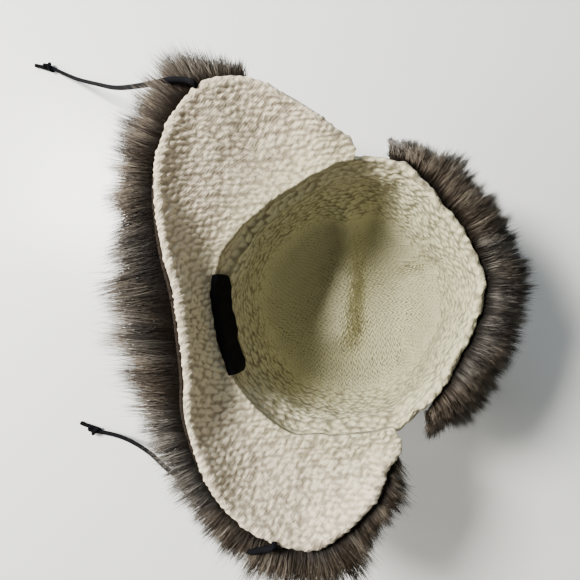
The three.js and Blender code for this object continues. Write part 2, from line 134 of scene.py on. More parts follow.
# %% [markdown]
# ## The camera
# The photograph looks almost straight down into the hat from 43 cm above the table. The
# picture's right is the front of the hat and its top is the flap on the +X side. A
# camera could be aimed with a constraint, but its three axes are known here, so they go
# straight into its matrix.

# %% Place the camera
SENSOR, FOCAL_PX, PICTURE_PX = 36, 430, 580  # sensor in mm, focal length and picture in pixels
AIM_RIGHT, AIM_UP = -0.093, 0.0512  # how far the view leans from straight down, in the picture
eye = Vector((-6.4, 22.2, 430.0)) * MM
picture_right = Vector((-0.1564, -0.9877, 0))
picture_up = Vector((0.9877, -0.1564, 0))
ahead = (AIM_RIGHT * picture_right + AIM_UP * picture_up - Vector((0, 0, 1))).normalized()
right = (picture_right - picture_right.dot(ahead) * ahead).normalized()
top = right.cross(ahead)
camera = bpy.data.objects.new("camera", bpy.data.cameras.new("camera"))
camera.matrix_world = Matrix(
    [[right[i], top[i], -ahead[i], eye[i]] for i in range(3)] + [[0, 0, 0, 1]]
)
camera.data.sensor_width = SENSOR
camera.data.lens = SENSOR * FOCAL_PX / PICTURE_PX
camera.data.clip_start = 0.01
bpy.context.collection.objects.link(camera)
bpy.context.scene.camera = camera
print("camera", round(eye.z, 3), "m up, lens", round(camera.data.lens, 2))

# %% [markdown]
# ## From arrays to meshes
# Each piece is a grid of points. Its faces are made by counting: point number i, its
# neighbour in the ring and the two below it give two triangles. A closed ring joins its
# last point to its first.


# %% Grids and mesh objects
def grid_faces(rows, columns, ring=False):
    """Two triangles for each cell of a grid that is numbered row by row. With ring, the
    last column is joined to the first."""
    r, c = np.meshgrid(np.arange(rows - 1), np.arange(columns if ring else columns - 1), indexing="ij")
    a, b = r * columns + c, r * columns + (c + 1) % columns
    d, e = a + columns, b + columns
    return np.concatenate([np.stack([a, b, e], -1), np.stack([a, e, d], -1)], 1).reshape(-1, 3)


def piece(name, points, faces, material=None):
    """An object at the origin from points in millimetres and rows of point numbers."""
    mesh = bpy.data.meshes.new(name)
    mesh.vertices.add(len(points))
    mesh.vertices.foreach_set("co", (np.asarray(points) * MM).astype(np.float32).ravel())
    mesh.loops.add(faces.size)
    mesh.loops.foreach_set("vertex_index", faces.astype(np.int32).ravel())
    mesh.polygons.add(len(faces))
    mesh.polygons.foreach_set("loop_start", np.arange(0, faces.size, 3, dtype=np.int32))
    mesh.update(calc_edges=True)
    mesh.shade_smooth()
    obj = bpy.data.objects.new(name, mesh)
    bpy.context.collection.objects.link(obj)
    if material:
        mesh.materials.append(material)
    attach(obj, "root")
    print(f"{name}: {len(points)} points, {len(faces)} triangles")
    return obj


def corner_map(obj, name, u, v):
    """A UV map from two numbers for each corner of each face."""
    layer = obj.data.uv_layers.new(name=name)
    layer.data.foreach_set("uv", np.stack([u, v], -1).astype(np.float32).ravel())


def bake_map(obj, u, v, wide=0.98, start=0.01):
    """The map that a bake uses: shares across and along the piece, kept a little inside
    the square."""
    corner_map(obj, "OFBake", u * wide + start, v * 0.98 + 0.01)


def past_seam(share, turn=1.0):
    """Shares of the way round at the corners of faces. Where a face crosses the place where
    the ring closes, its corners just past it count on from the full turn."""
    crosses = np.ptp(share, axis=1, keepdims=True) > turn / 2
    return np.where(crosses & (share < turn / 2), share + turn, share)


def point_value(obj, name, values):
    """One number for each point, which a material can read by its name."""
    layer = obj.data.attributes.new(name, "FLOAT", "POINT")
    layer.data.foreach_set("value", np.asarray(values, np.float32).ravel())


def points_of(obj):
    """The object's points in millimetres."""
    flat = np.empty(len(obj.data.vertices) * 3, np.float32)
    obj.data.vertices.foreach_get("co", flat)
    return flat.reshape(-1, 3).astype(float) / MM


def raise_by(obj, heights):
    """Moves each point along the surface's own direction there by its height."""
    normal = np.empty(len(obj.data.vertices) * 3, np.float32)
    obj.data.vertex_normals.foreach_get("vector", normal)
    moved = points_of(obj) + normal.reshape(-1, 3) * np.asarray(heights)[:, None]
    obj.data.vertices.foreach_set("co", (moved * MM).astype(np.float32).ravel())
    obj.data.update()


def turn_outward(points, faces):
    """The faces, all reversed if the closed shape that they make has its inside out: the
    sum of each face's first corner dotted with the cross of the other two is negative."""
    a, b, c = (points[faces[:, i]] for i in range(3))
    return faces if np.sum(a * np.cross(b, c)) > 0 else faces[:, ::-1]


# %% [markdown]
# ## A short way to write materials
# A material is a little tree of nodes. These helpers make one node with its inputs in
# one line, so that a finish reads like a recipe.


# %% Node helpers
TURN = 6.2832  # one full turn in radians


class Recipe:
    """A material whose nodes are added one by one; each call gives back a node's output."""

    def __init__(self, name):
        self.material = bpy.data.materials.new(name)
        self.material.use_nodes = True
        self.tree = self.material.node_tree
        self.shader = self.tree.nodes["Principled BSDF"]

    def put(self, socket, value):
        if isinstance(value, bpy.types.NodeSocket):
            self.tree.links.new(value, socket)
        else:
            socket.default_value = value

    def node(self, kind, output=0, inputs=(), **settings):
        made = self.tree.nodes.new(kind)
        for name, value in settings.items():
            setattr(made, name, value)
        for name, value in dict(inputs).items():
            self.put(made.inputs[name], value)
        return made.outputs[output]

    def math(self, kind, a, b=0.0, c=0.0):
        return self.node("ShaderNodeMath", inputs={0: a, 1: b, 2: c}, operation=kind)

    def noise(self, scale, detail=2.0, at=None):
        at = at or self.node("ShaderNodeTexCoord", "Object")
        return self.node("ShaderNodeTexNoise", "Fac", {"Vector": at, "Scale": scale, "Detail": detail})

    def blend(self, a, b, share):
        made = self.tree.nodes.new("ShaderNodeMix")
        made.data_type = "RGBA"
        for socket, value in ((0, share), (6, a), (7, b)):
            self.put(made.inputs[socket], value)
        return made.outputs[2]

    def value(self, name):
        return self.node("ShaderNodeAttribute", "Fac", attribute_name=name)

    def map_axes(self, name):
        spot = self.node("ShaderNodeUVMap", uv_map=name)
        made = self.tree.nodes.new("ShaderNodeSeparateXYZ")
        self.tree.links.new(spot, made.inputs[0])
        return made.outputs[0], made.outputs[1]

    def bump(self, height, distance, strength=1.0, under=None):
        inputs = {"Height": height, "Distance": distance, "Strength": strength}
        if under:
            inputs["Normal"] = under
        return self.node("ShaderNodeBump", "Normal", inputs)

    def set(self, **values):
        for name, value in values.items():
            self.put(self.shader.inputs[name.replace("_", " ")], value)
        return self.material


# %% [markdown]
# ## The tie cords
# Each flap ends in a thin round braided cord with an overhand knot near its end. A cord
# is a fixed length of something limp: it leaves the flap's tip, falls to the table and
# lies there. Both routes are the points of the CAD model's route. The photograph shows
# the lower cord from end to end, about 26 cm. The upper one leaves the picture and gets
# about the same length. A curve with a bevel would do, but a tube of rings can carry the
# ribs of the braid, so the tube is built here, ring by ring along its route.

# %% Routes
CORD_D = 4.0
RIGHT_ROUTE = [(158.87, 88.02, 152.33), (160.16, 88.63, 154.62), (164.5, 93.5, 151.5),
    (170, 104, 147), (184, 131, 125), (212, 172, 84), (244, 208, 45), (273, 244, 17),
    (288, 262, 7), (295, 271, 4.8)]  # fmt: skip
LEFT_ROUTE = [(-145.84, 79.74, 151.92), (-146.81, 80.3, 154.38), (-150, 88, 149),
    (-152.5, 97, 145), (-150, 108, 135.5), (-141, 131, 108), (-130.5, 158, 77),
    (-123, 189, 47), (-112, 213, 27), (-101, 241, 11), (-95, 259, 6), (-92.5, 268, 4.8)]  # fmt: skip


def root_length(u, v):
    """The square root of the distance from each point of u to its partner in v."""
    return np.sqrt(np.linalg.norm(v - u, axis=1))[:, None]


def cord_route(rows):
    """The smooth route through the points: a cubic between two of them, with slopes
    weighed by the square roots of the distances, so that a close pair makes no loop."""
    p = np.array(rows, float)
    p = np.vstack([2 * p[0] - p[1], p, 2 * p[-1] - p[-2]])
    a, b, c, d = p[:-3], p[1:-2], p[2:-1], p[3:]
    ab, bc, cd = root_length(a, b), root_length(b, c), root_length(c, d)
    start = ((b - a) / ab - (c - a) / (ab + bc) + (c - b) / bc) * bc
    stop = ((c - b) / bc - (d - b) / (bc + cd) + (d - c) / cd) * bc
    k = np.linspace(0, 1, 60, endpoint=False)[:, None, None]
    fine = cubic(b, start, c, stop, k).transpose(1, 0, 2)
    fine = np.vstack([fine.reshape(-1, 3), p[-2]])
    length = np.r_[0, np.cumsum(np.linalg.norm(np.diff(fine, axis=0), axis=1))]
    at = np.linspace(0, length[-1], int(length[-1] / 1.1))
    return np.stack([np.interp(at, length, axis) for axis in fine.T], -1), length[-1]


right_route, right_length = cord_route(RIGHT_ROUTE)
left_route, left_length = cord_route(LEFT_ROUTE)
print("cords:", round(right_length, 1), "and", round(left_length, 1), "mm")


# %% Cord finish: black braid with a slight gloss
def braid_finish():
    """Two sets of strands that cross: one sine runs round and along, the other round and
    back, and the higher of them is the strand on top."""
    r = Recipe("black braided cord")
    around, along = r.map_axes("OFBake")
    turn, run = r.math("MULTIPLY", around, 6 * TURN), r.math("MULTIPLY", along, 2.6 * 280)
    one = r.math("SINE", r.math("ADD", turn, run))
    two = r.math("SINE", r.math("SUBTRACT", turn, run))
    strands = r.math("MAXIMUM", one, two)
    # The braid's gaps are painted darker than the tops of its strands: painted shade.
    gap_shade_mix = r.math("MULTIPLY_ADD", strands, 0.5, 0.5)
    shade = r.blend((0.002, 0.002, 0.0025, 1), (0.006, 0.006, 0.008, 1), gap_shade_mix)
    relief = r.bump(strands, 0.00025)
    return r.set(Base_Color=shade, Roughness=0.75, Specular_IOR_Level=0.04, Normal=relief)


cord_black = braid_finish()


# %% Tubes of rings
def frames_along(path):
    """At each step of a path its direction and two directions across it, carried along so
    that they turn as little as possible."""
    ahead = unit(np.gradient(path, axis=0))
    side = np.zeros_like(path)
    side[0] = unit(np.cross(ahead[0], (0.3, 0.2, 0.93)))
    for i in range(1, len(path)):
        side[i] = unit(side[i - 1] - side[i - 1] @ ahead[i] * ahead[i])
    return ahead, side, np.cross(ahead, side)


def tube(name, path, radius, sides, material, ribs=0.0):
    """Rings of points round a path: centre + radius x (cosine x side + sine x up). The
    radius may change along the path and swells by the ribs of the braid. Both ends are
    closed by a point."""
    ahead, side, up = frames_along(path)
    turn = np.arange(sides) / sides * 2 * np.pi
    run = np.r_[0, np.cumsum(np.linalg.norm(np.diff(path, axis=0), axis=1))]
    strand, along = 3 * turn[None, :], run[:, None] * 1.5
    swell = 1 + ribs * np.cos(strand + along) * np.cos(strand - along)
    wide = (np.broadcast_to(radius, len(path))[:, None] * swell)[..., None]
    across, upward = np.cos(turn)[None, :, None] * side[:, None], np.sin(turn)[None, :, None] * up[:, None]
    rings = path[:, None] + wide * (across + upward)
    n = len(path) * sides
    reach = np.mean(radius) * 0.35
    tips = [path[0] - ahead[0] * reach, path[-1] + ahead[-1] * reach]
    points = np.vstack([rings.reshape(-1, 3), *tips])
    c = np.arange(sides)
    ends = [np.stack([np.full(sides, n), (c + 1) % sides, c], -1),
            np.stack([np.full(sides, n + 1), n - sides + c, n - sides + (c + 1) % sides], -1)]  # fmt: skip
    faces = np.vstack([grid_faces(len(path), sides, ring=True), *ends])
    faces = turn_outward(points - path.mean(0), faces)
    obj = piece(name, points, faces, material)
    share = np.r_[np.repeat(run / run[-1], sides), 0, 1]
    place = np.r_[np.tile(c / sides, len(path)), 0.5, 0.5]
    bake_map(obj, past_seam(place[faces]), share[faces], start=0.005)
    return obj


cord_right = tube("cord_right", right_route, CORD_D / 2, 14, cord_black, 0.05)
cord_left = tube("cord_left", left_route, CORD_D / 2, 14, cord_black, 0.05)

# %% [markdown]
# ## The overhand knots
# The cord runs into the knot, turns over, wraps once and a half round itself and comes
# out as a short tail. The knot could be a lump, but its wraps catch the light, so it is
# the same tube along a tight route: a straight core, then a helix round it, then the tail.


# %% Tie the knots
def overhand(route, beside):
    """The knot's centreline, in steps along the cord's last direction: a straight core, a
    helix of one turn and a half that comes back over it, and a tail that leaves ahead."""
    end = route[-1]
    ahead = unit((route[-1] - route[-4]) * (1, 1, 0))
    across = np.cross((0, 0, 1), ahead) * beside
    core = [(0, 0, 4.8), (3.5, 0, 4.5), (8, 0, 4.3), (12, 0.3, 4.6), (15.2, 1.2, 5.6)]
    t = np.linspace(0, 1, 13)
    turn = np.radians(50 + 500 * t)
    helix = np.stack([mix(15.2, 5.2, smooth(t)), 2.7 * np.sin(turn), 4.5 + 2.5 * np.cos(turn)], -1)
    tail = [(7.5, 1.8, 2.6), (12, 2.6, 2.1), (17, 3.4, 2.1), (22, 4.2, 2.1), (27, 5.6, 2.1)]
    local = np.vstack([core, helix[1:], tail])
    path = end * (1, 1, 0) + local[:, :1] * ahead + local[:, 1:2] * across
    path = path + local[:, 2:] * np.array([0, 0, 1.0])
    return even_steps(path, 0.9)[0]


def knot(name, route, beside):
    """The knot's tube, a little squeezed where the wraps press on each other."""
    path = overhand(route, beside)
    k = np.linspace(0, 1, len(path))
    radius = mix(CORD_D / 2, 1.75, smooth(k / 0.12) * smooth((0.8 - k) / 0.12))
    path[:, 2] = np.maximum(path[:, 2], radius + 0.12)
    return tube(name, path, radius, 12, cord_black, 0.04)


knot_right = knot("knot_right", right_route, 1)
knot_left = knot("knot_left", left_route, -1)

for obj, route, length, end, node in (
    (cord_right, right_route, right_length, knot_right, "right"),
    (cord_left, left_route, left_length, knot_left, "left"),
):
    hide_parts(f"tie_cord_{node}")
    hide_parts(f"tie_knot_{node}")

# %% [markdown]
# ## The crown's form
# The cap is a round pot about 12 cm deep whose rim waves in and out. Its radius is one
# profile times the rim's waves, which fade out downward, and soft folds stand up from
# its floor where the knit has slumped.

# %% Tables and formulas of the crown
RIM_Z, RIM_R, KNIT, LEAN = 118.0, 97.0, 6.0, 6.0
RIM_WAVES = np.array([(0, 94), (20, 93), (35, 94), (48, 100), (60, 106), (72, 108), (84, 106),
    (96, 101), (108, 97.5), (124, 98), (140, 102), (152, 106), (166, 106), (180, 104), (194, 105),
    (208, 108), (222, 109), (236, 110), (250, 103), (264, 100), (280, 99), (294, 92), (308, 88),
    (322, 85), (336, 87), (348, 91), (360, 94)], float)  # fmt: skip
FOLDS = [(88, -6, 20, 2, 16, 15), (20, 2, -28, 16, 15, 15), (72, -54, 36, -62, 18, 9),
    (0, -66, -40, -54, 18, 6), (-70, 20, -66, -30, 16, 4), (98, -38, 74, -10, 10, 7)]  # fmt: skip
# Soft slumps of the wall: angle and height of the middle, half widths, how far they stand in
SLUMPS = [(152, 90, 17, 19, 11), (116, 104, 26, 10, 5), (75, 98, 26, 15, 4.5), (266, 96, 36, 15, 7),
    (198, 58, 22, 22, 6), (332, 72, 26, 24, 5), (24, 74, 24, 24, 6), (232, 84, 16, 20, 4)]  # fmt: skip


def rim_radius(a):
    """The rim's outer radius at an angle: a soft step from one row of the table to the next."""
    a = np.asarray(a, float) % 360
    i = np.clip(np.searchsorted(RIM_WAVES[:, 0], a, side="right") - 1, 0, len(RIM_WAVES) - 2)
    (a0, r0), (a1, r1) = RIM_WAVES[i].T, RIM_WAVES[i + 1].T
    return mix(r0.T, r1.T, smooth((a - a0.T) / (a1.T - a0.T)))


def waved(a, z, r):
    """A profile radius with the rim's waves, which fade out from the rim downward."""
    return r * mix(1, rim_radius(a) / RIM_R, smooth((z - 10) / (RIM_Z - 18)))


def around_hat(a, z, r):
    """The point at angle a, height z and profile radius r, about a middle that leans back."""
    p = out(a) * waved(a, z, r)[..., None]
    p[..., 1] += LEAN * clamp01(z / RIM_Z)
    p[..., 2] = z
    return p


def fold_height(x, y):
    """How far the folds stand in. Each is a ridge along a line, as high as the bell curve
    of the distance to it, and ridges that meet are joined by their fourth powers."""
    total = 0
    for x0, y0, x1, y1, wide, high in FOLDS:
        dx, dy = x1 - x0, y1 - y0
        k = clamp01(((x - x0) * dx + (y - y0) * dy) / (dx * dx + dy * dy))
        d = np.hypot(x - x0 - k * dx, y - y0 - k * dy)
        total = total + (high * np.exp(-((d / wide) ** 2))) ** 4
    return total**0.25


def slump(a, z):
    """How far the wall has slumped inward: a sum of bell curves of angle and height."""
    total = 0
    for at, high, wide, tall, inward in SLUMPS:
        total = total + inward * np.exp(-((turn_from(at, a) / wide) ** 2) - ((z - high) / tall) ** 2)
    return total


def wall_share(z):
    """Folds are full on the floor and flatten toward the rim."""
    return 1 - smooth((z - 20) / 80)


def rolled(a):
    """1 at the front, where the rim is a free rolled edge, and 0 where a flap is sewn to it."""
    return smooth((72 - np.abs(turn_from(0, np.asarray(a)))) / 14)


# %% [markdown]
# ## The stitches
# Plain knitting shows columns of V. One V is two legs of yarn that lean apart. If u
# counts columns and v counts rows, a leg is a round bar along the slanted line v - 2|u|,
# and its height is a sine across that line times a sine across the leg's own half
# column. The back of the same knit shows rows of arcs instead, as a wave.


# %% Height of a stitch
def vee(u, v):
    """Height of the V stitch from 0 to 1 at column u and row v: both legs are bars along
    v minus twice the distance from the column's middle."""
    side = np.abs(u - np.floor(u) - 0.5)
    across = np.abs(np.sin(np.pi * (v - 2.0 * side)))
    return across**0.8 * (0.5 + 0.5 * np.sin(np.pi * clamp01(side * 2)) ** 0.5)


def chance(i, j, seed):
    """A steady made-up number from 0 to 1 for each pair of whole numbers."""
    v = np.sin(i * 12.9898 + j * 78.233 + seed * 37.719) * 43758.5453
    return v - np.floor(v)


def purl(u, v):
    """Height of the purl side from 0 to 1. Every place of a brick pattern has one soft
    bump, wide as a stitch and half as high, a little out of place and bowed like an arc.
    The highest bump counts, so that a crease stays between two of them."""
    best = np.zeros_like(u)
    for j in (-1, 0, 1):
        row = np.floor(v) + j
        shift = 0.5 * (row % 2)
        for i in (-1, 0, 1):
            col = np.floor(u - shift) + i
            du = u - shift - col - 0.5 - 0.5 * (chance(col, row, 1) - 0.5)
            dv = v - row - 0.5 - 0.56 * (chance(col, row, 2) - 0.5) + 0.7 * du**2
            high = 0.62 + 0.38 * chance(col, row, 3)
            wide = 0.5 + 0.16 * chance(col, row, 4)
            best = np.maximum(best, high * np.exp(-1.3 * (du / wide) ** 2 - 1.5 * (dv / 0.5) ** 2))
    return best


# %% Wool finish
def vee_nodes(r, u, v):
    """The V stitch of vee once more, in nodes, so that it is sharp at any distance."""
    side = r.math("ABSOLUTE", r.math("SUBTRACT", r.math("FRACT", u), 0.5))
    twice = r.math("MINIMUM", r.math("MULTIPLY", side, 2.0), 1.0)
    leg = r.math("ABSOLUTE", r.math("SINE", r.math("MULTIPLY", r.math("SUBTRACT", v, twice), np.pi)))
    half = r.math("MAXIMUM", r.math("SINE", r.math("MULTIPLY", twice, np.pi)), 0.0)
    leg = r.math("POWER", leg, 0.8)
    return r.math("MULTIPLY", leg, r.math("MULTIPLY_ADD", r.math("POWER", half, 0.5), 0.5, 0.5))


def wool_finish(name, plain_side, hollow=1.0):
    """Cream wool: pinkish and pale above, darker and more yellow deep in the hollow (painted
    shade and painted bounce light), darker in the holes between the stitches (painted shade),
    a little warmer in soft patches, with the plies of the yarn and its fibres as bump. The
    plain side draws its own V stitches; the purl side takes the height that the mesh carries."""
    r = Recipe(name)
    patch, cloud = r.noise(22, 2.0), r.noise(60, 2.0)
    where = r.node("ShaderNodeTexCoord", "Object")
    # Painted shade and painted bounce light: the nearer to the middle of the hollow, the darker and more
    # yellow the wool.
    squashed = {0: where, 1: (1, 1, 0.55)}
    squashed = r.node("ShaderNodeVectorMath", "Vector", squashed, operation="MULTIPLY")
    away = r.node("ShaderNodeVectorMath", "Value", {0: squashed}, operation="LENGTH")
    inner = {"Value": away, "From Min": 0.15, "From Max": 0.095, "To Max": hollow}
    deep = r.node("ShaderNodeMapRange", inputs=inner)
    light = r.blend((0.74, 0.65, 0.49, 1), (0.57, 0.55, 0.34, 1), deep)
    warm = r.blend((0.69, 0.57, 0.43, 1), (0.52, 0.485, 0.285, 1), deep)
    # Dark colour of the painted shade in the holes between the stitches, also of the fibres' fine specks.
    dark = (0.08, 0.062, 0.034, 1)
    fibre, tufty = r.noise(2100, 3.0), r.noise(430, 3.0)
    u, v = r.map_axes("stitches")
    height = r.value("relief")
    if plain_side:
        u = r.math("MULTIPLY_ADD", r.math("SUBTRACT", r.noise(95, 1.0), 0.5), 0.7, u)
        v = r.math("MULTIPLY_ADD", r.math("SUBTRACT", r.noise(80, 1.0), 0.5), 1.0, v)
        drawn = r.math("SUBTRACT", vee_nodes(r, u, v), height)
        height = r.math("MULTIPLY_ADD", drawn, r.value("plain"), height)
    # Painted shade in the holes: where the stitches' relief is low, the colour goes toward the dark colour.
    fluffy = r.math("MULTIPLY_ADD", tufty, 0.3, r.math("SUBTRACT", height, 0.15))
    hole_shade_range = {"Value": fluffy, "From Min": 0.05, "From Max": 0.58}
    yarn = r.node("ShaderNodeMapRange", inputs=hole_shade_range, interpolation_type="SMOOTHSTEP")
    calm = r.math("MULTIPLY_ADD", cloud, 0.8, -0.32 if plain_side else -0.1)
    base = r.blend(r.blend(dark, light, calm), light, yarn)
    base = r.blend(base, warm, r.math("MULTIPLY", patch, 0.5))
    base = r.blend(base, r.blend(base, dark, 0.4), r.math("MULTIPLY", fibre, 0.5))
    slant = r.math("ADD", r.math("MULTIPLY", u, 2.4), r.math("MULTIPLY", v, 2.0))
    plies = r.math("SINE", r.math("MULTIPLY", slant, TURN))
    loops = r.bump(height, 0.0016, 0.7 if plain_side else 0.4)
    clumps = r.bump(tufty, 0.0015, 0.7, loops)
    twist = r.bump(plies, 0.0003, 0.3, clumps)
    return r.set(Base_Color=base, Roughness=0.95, Sheen_Weight=0.15, Sheen_Roughness=0.6,
                 Specular_IOR_Level=0.1, Normal=r.bump(fibre, 0.0005, 0.6, twist))  # fmt: skip


wool_crown = wool_finish("cream wool, plain side", True)
wool_flap = wool_finish("cream wool, purl side", False)
# The cable side takes 0.3 of the same painted shade and painted bounce light, toward the middle of the
# crown's top.
wool_outside = wool_finish("cream wool, cable side", False, hollow=0.3)

# %% [markdown]
# ## Inside of the crown
# The hat was knitted in the round from the rim up. At four lines two stitches become
# one, so that the top closes as a square spiral of four sectors. On the wall the columns
# run straight down. On the floor they run straight toward the middle of each sector, and
# between the two they bend over. Rings of points get fewer toward the middle, so that
# the triangles stay about as large as a third of a stitch.

# %% Profile from under the rim, over it, down the wall and across the floor
INSIDE_PLAIN = [(108, 96.6), (113, 96.8), (116.4, 96.2), (118, 94), (116.4, 91.8), (112, 91),
    (107, 90.5), (98, 90), (90, 89.5), (81, 88.8), (72, 88), (63.5, 86.9), (55, 85.5), (47, 83.7), (40, 81.5),
    (33, 78.6), (27, 75), (21.5, 71), (17, 66.5), (13, 61.9), (10, 57), (7.9, 51), (6.7, 44),
    (6.1, 37), (6, 30), (6, 20), (6, 10), (6, 0.4)]  # fmt: skip
INSIDE_ROLLED = [(108, 96.8), (113, 98), (118.4, 98), (121.8, 94.6), (119, 91), (113, 90.2), (107, 90)]
INSIDE_ROLLED += INSIDE_PLAIN[7:]
COLUMNS_ROUND = 104
ROW_MM = 4.35
DRAWN_TO = np.array([14.0, -4.0])  # where the decreases meet
VALLEY_DEEP = 3.4  # the valley beside the floor's longest fold

fine_plain = along_rows(INSIDE_PLAIN, np.linspace(0, 1, FINE))
depth_fine = np.r_[0, np.cumsum(np.linalg.norm(np.diff(fine_plain, axis=0), axis=1))]
DEPTH = depth_fine[-1]


def inside_profile(s, q):
    """Height and radius at distance s along the profile: the plain rim's and the rolled
    rim's profiles at the same share of the way, blended by q."""
    share = np.interp(s, depth_fine, np.arange(FINE) / (FINE - 1))
    rows = mix(along_rows(INSIDE_PLAIN, share), along_rows(INSIDE_ROLLED, share), np.asarray(q)[..., None])
    return rows[..., 0], rows[..., 1]


def inside_point(a, s):
    """A point of the inside: the profile carried round the hat, pushed in by the folds
    along the profile's own normal, with its floor's middle drawn to one side."""
    q = rolled(a)
    z, r = inside_profile(s, q)
    z2, r2 = inside_profile(np.minimum(s + 2, DEPTH), q)
    z1, r1 = inside_profile(np.maximum(s - 2, 0), q)
    slope = unit(np.stack([r2 - r1, z2 - z1], -1))
    p = around_hat(a, z, r)
    shift = DRAWN_TO * (1 - smooth(r / 56))[..., None]
    p[..., :2] += shift
    high = fold_height(p[..., 0], p[..., 1]) * wall_share(z)
    soft = ripple(p[..., 0] + z, p[..., 1] - z, 3, 46) * 1.1 * smooth((s - 30) / 40)
    along = clamp01((60 - p[..., 0]) / 90)
    valley = np.exp(-(((p[..., 1] + 22 - 12 * along) / 9) ** 2))
    valley = valley * smooth((p[..., 0] + 44) / 16) * smooth((80 - p[..., 0]) / 24)
    inward = (high + soft - VALLEY_DEEP * valley) * smooth((s - 22) / 14)
    inward = inward + slump(a, z) * smooth((s - 16) / 12)
    p += out(a) * slope[..., 1:2] * inward[..., None]
    p[..., 2] -= slope[..., 0] * inward
    return p


# %% Rings that get fewer toward the middle
def ring_plan():
    """How many points each ring has, and how far along the profile it lies."""
    plan, s = [], 0.0
    while s < DEPTH - 1.2:
        left = DEPTH - s
        count = 624 if left > 56 else 312 if left > 26 else 156 if left > 11 else 78
        plan.append((count, s))
        s += ROW_MM / 4
    return plan


def ring_faces(counts):
    """Triangles between rings. Where a ring has half as many points as the one before,
    three triangles join two steps of the finer ring to one of the coarser."""
    faces, first = [], 0
    for n, m in zip(counts[:-1], counts[1:]):
        following, i = first + n, np.arange(m)
        if n == m:
            a, b, d, e = first + i, first + (i + 1) % n, following + i, following + (i + 1) % m
            faces += [np.stack([a, b, e], -1), np.stack([a, e, d], -1)]
        else:
            a, b, c = first + 2 * i, first + 2 * i + 1, first + (2 * i + 2) % n
            d, e = following + i, following + (i + 1) % m
            faces += [np.stack([a, b, d], -1), np.stack([b, e, d], -1), np.stack([b, c, e], -1)]
        first = following
    last, n = first, counts[-1]
    i = np.arange(n)
    faces.append(np.stack([last + i, last + (i + 1) % n, np.full(n, last + n)], -1))
    return np.concatenate(faces)


plan = ring_plan()
ring_a = np.concatenate([np.arange(n) * 360 / n for n, _ in plan] + [[0.0]])
ring_s = np.concatenate([np.full(n, s) for n, s in plan] + [[DEPTH]])
inside_faces = ring_faces([n for n, _ in plan])[:, ::-1]
inside_points = inside_point(ring_a, ring_s)
print("inside:", round(DEPTH, 1), "mm from under the rim to the middle of the floor")


# %% Column and row of the knit at a place
def inside_stitch(a, s, p, sector):
    """Columns and rows. On the wall a column is its share of the way round and a row is
    the depth. On the floor both are straight across one of the four sectors: the
    distance to its middle line, and the distance left along it."""
    bend = smooth((s - 62) / 95)
    near = p[..., :2] - DRAWN_TO * bend[..., None]
    along = out(sector * 90.0)[..., :2]
    beside = out(sector * 90.0 + 90)[..., :2]
    u = mix(turn_from(sector * 90, a) / 360 * COLUMNS_ROUND, np.sum(near * beside, -1) / 5.5, bend)
    v = mix(s, DEPTH - np.sum(near * along, -1), bend) / ROW_MM
    x, y = p[..., 0] + 0.4 * p[..., 2], p[..., 1] - 0.5 * p[..., 2]
    loose = 1 - 0.5 * bend
    u = u + loose * (0.22 * ripple(x, y, 41, 17) + 0.3 * ripple(x, y, 42, 50))
    v = v + loose * (0.3 * ripple(x, y, 43, 14) + 0.7 * ripple(x, y, 44, 60))
    return u, v


crown_inside = piece("crown_inside", inside_points, inside_faces, wool_crown)
sector = np.round(ring_a / 90) % 4
u, v = inside_stitch(ring_a, ring_s, inside_points, sector)
plain = smooth((ring_s - 84) / 30)
relief = mix(purl(u * 10 / 13, v), vee(u, v), plain)
calm = smooth((ring_s - 1) / 6)
x, y, z = inside_points.T
fluff = ripple(x + 0.5 * z, y - 0.4 * z, 45, 9) + 0.7 * ripple(x - 0.6 * z, y + 0.5 * z, 46, 4.5)
raise_by(crown_inside, (mix(2.0, 1.5, plain) * relief + 0.7 * fluff * (1 - 0.75 * plain)) * calm)
point_value(crown_inside, "relief", relief)
point_value(crown_inside, "plain", plain)

# %% Its two maps, corner by corner
corner_a, corner_s = ring_a[inside_faces], ring_s[inside_faces]
spread = turn_from(corner_a[:, :1], corner_a)
tip = np.isclose(corner_s, DEPTH)  # the middle point has no angle of its own
spread[tip] = 0
centre = corner_a[:, 0] + np.where(tip.any(1), 0, spread.mean(1))
first_two = np.where(tip, 0, turn_from(centre[:, None], corner_a))
centre = (centre + first_two.sum(1) / np.maximum((~tip).sum(1), 1)) % 360
corner_a = centre[:, None] + np.where(tip, 0, turn_from(centre[:, None], corner_a))
face_sector = np.repeat((np.round(centre / 90) % 4)[:, None], 3, 1)
u, v = inside_stitch(corner_a, corner_s, inside_points[inside_faces], face_sector)
corner_map(crown_inside, "stitches", u, v)
bake_map(crown_inside, clamp01(corner_a / 360), corner_s / DEPTH)
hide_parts("crown")

# %% [markdown]
# ## Outside of the crown
# The outside can't be seen in the photograph, and the hat's name says that it is cable
# knit. A cable is a rope of two strands that cross every few rows, standing on a ground
# of purl stitches. Twelve cables run from the rim to the base. Each strand's middle
# swings from side to side as a cosine along the wall, the two half a turn apart, and at
# a crossing one of them lies on top.

# %% Profile and dents of the outside
OUTSIDE = [(0, 0.4), (0, 14), (0, 27), (0.05, 40), (0.5, 52), (2.5, 61), (5.2, 66.4), (9, 71),
    (14, 75.8), (20, 80), (27, 84), (35, 87.5), (43, 90), (52, 92), (61, 93.4), (70, 94.5), (79, 95.3),
    (88, 96), (96, 96.5), (104, 96.8), (110, 96.6), (113, 95.2)]  # fmt: skip
CABLES, CABLE_TWIST, CABLE_H = 12, 34.0, 4.2
GROUND = 520  # columns of the outside's mesh
RIM_ROUND = 600  # length once round the rim
outside_rows, outside_s = even_steps(OUTSIDE, 1.22)


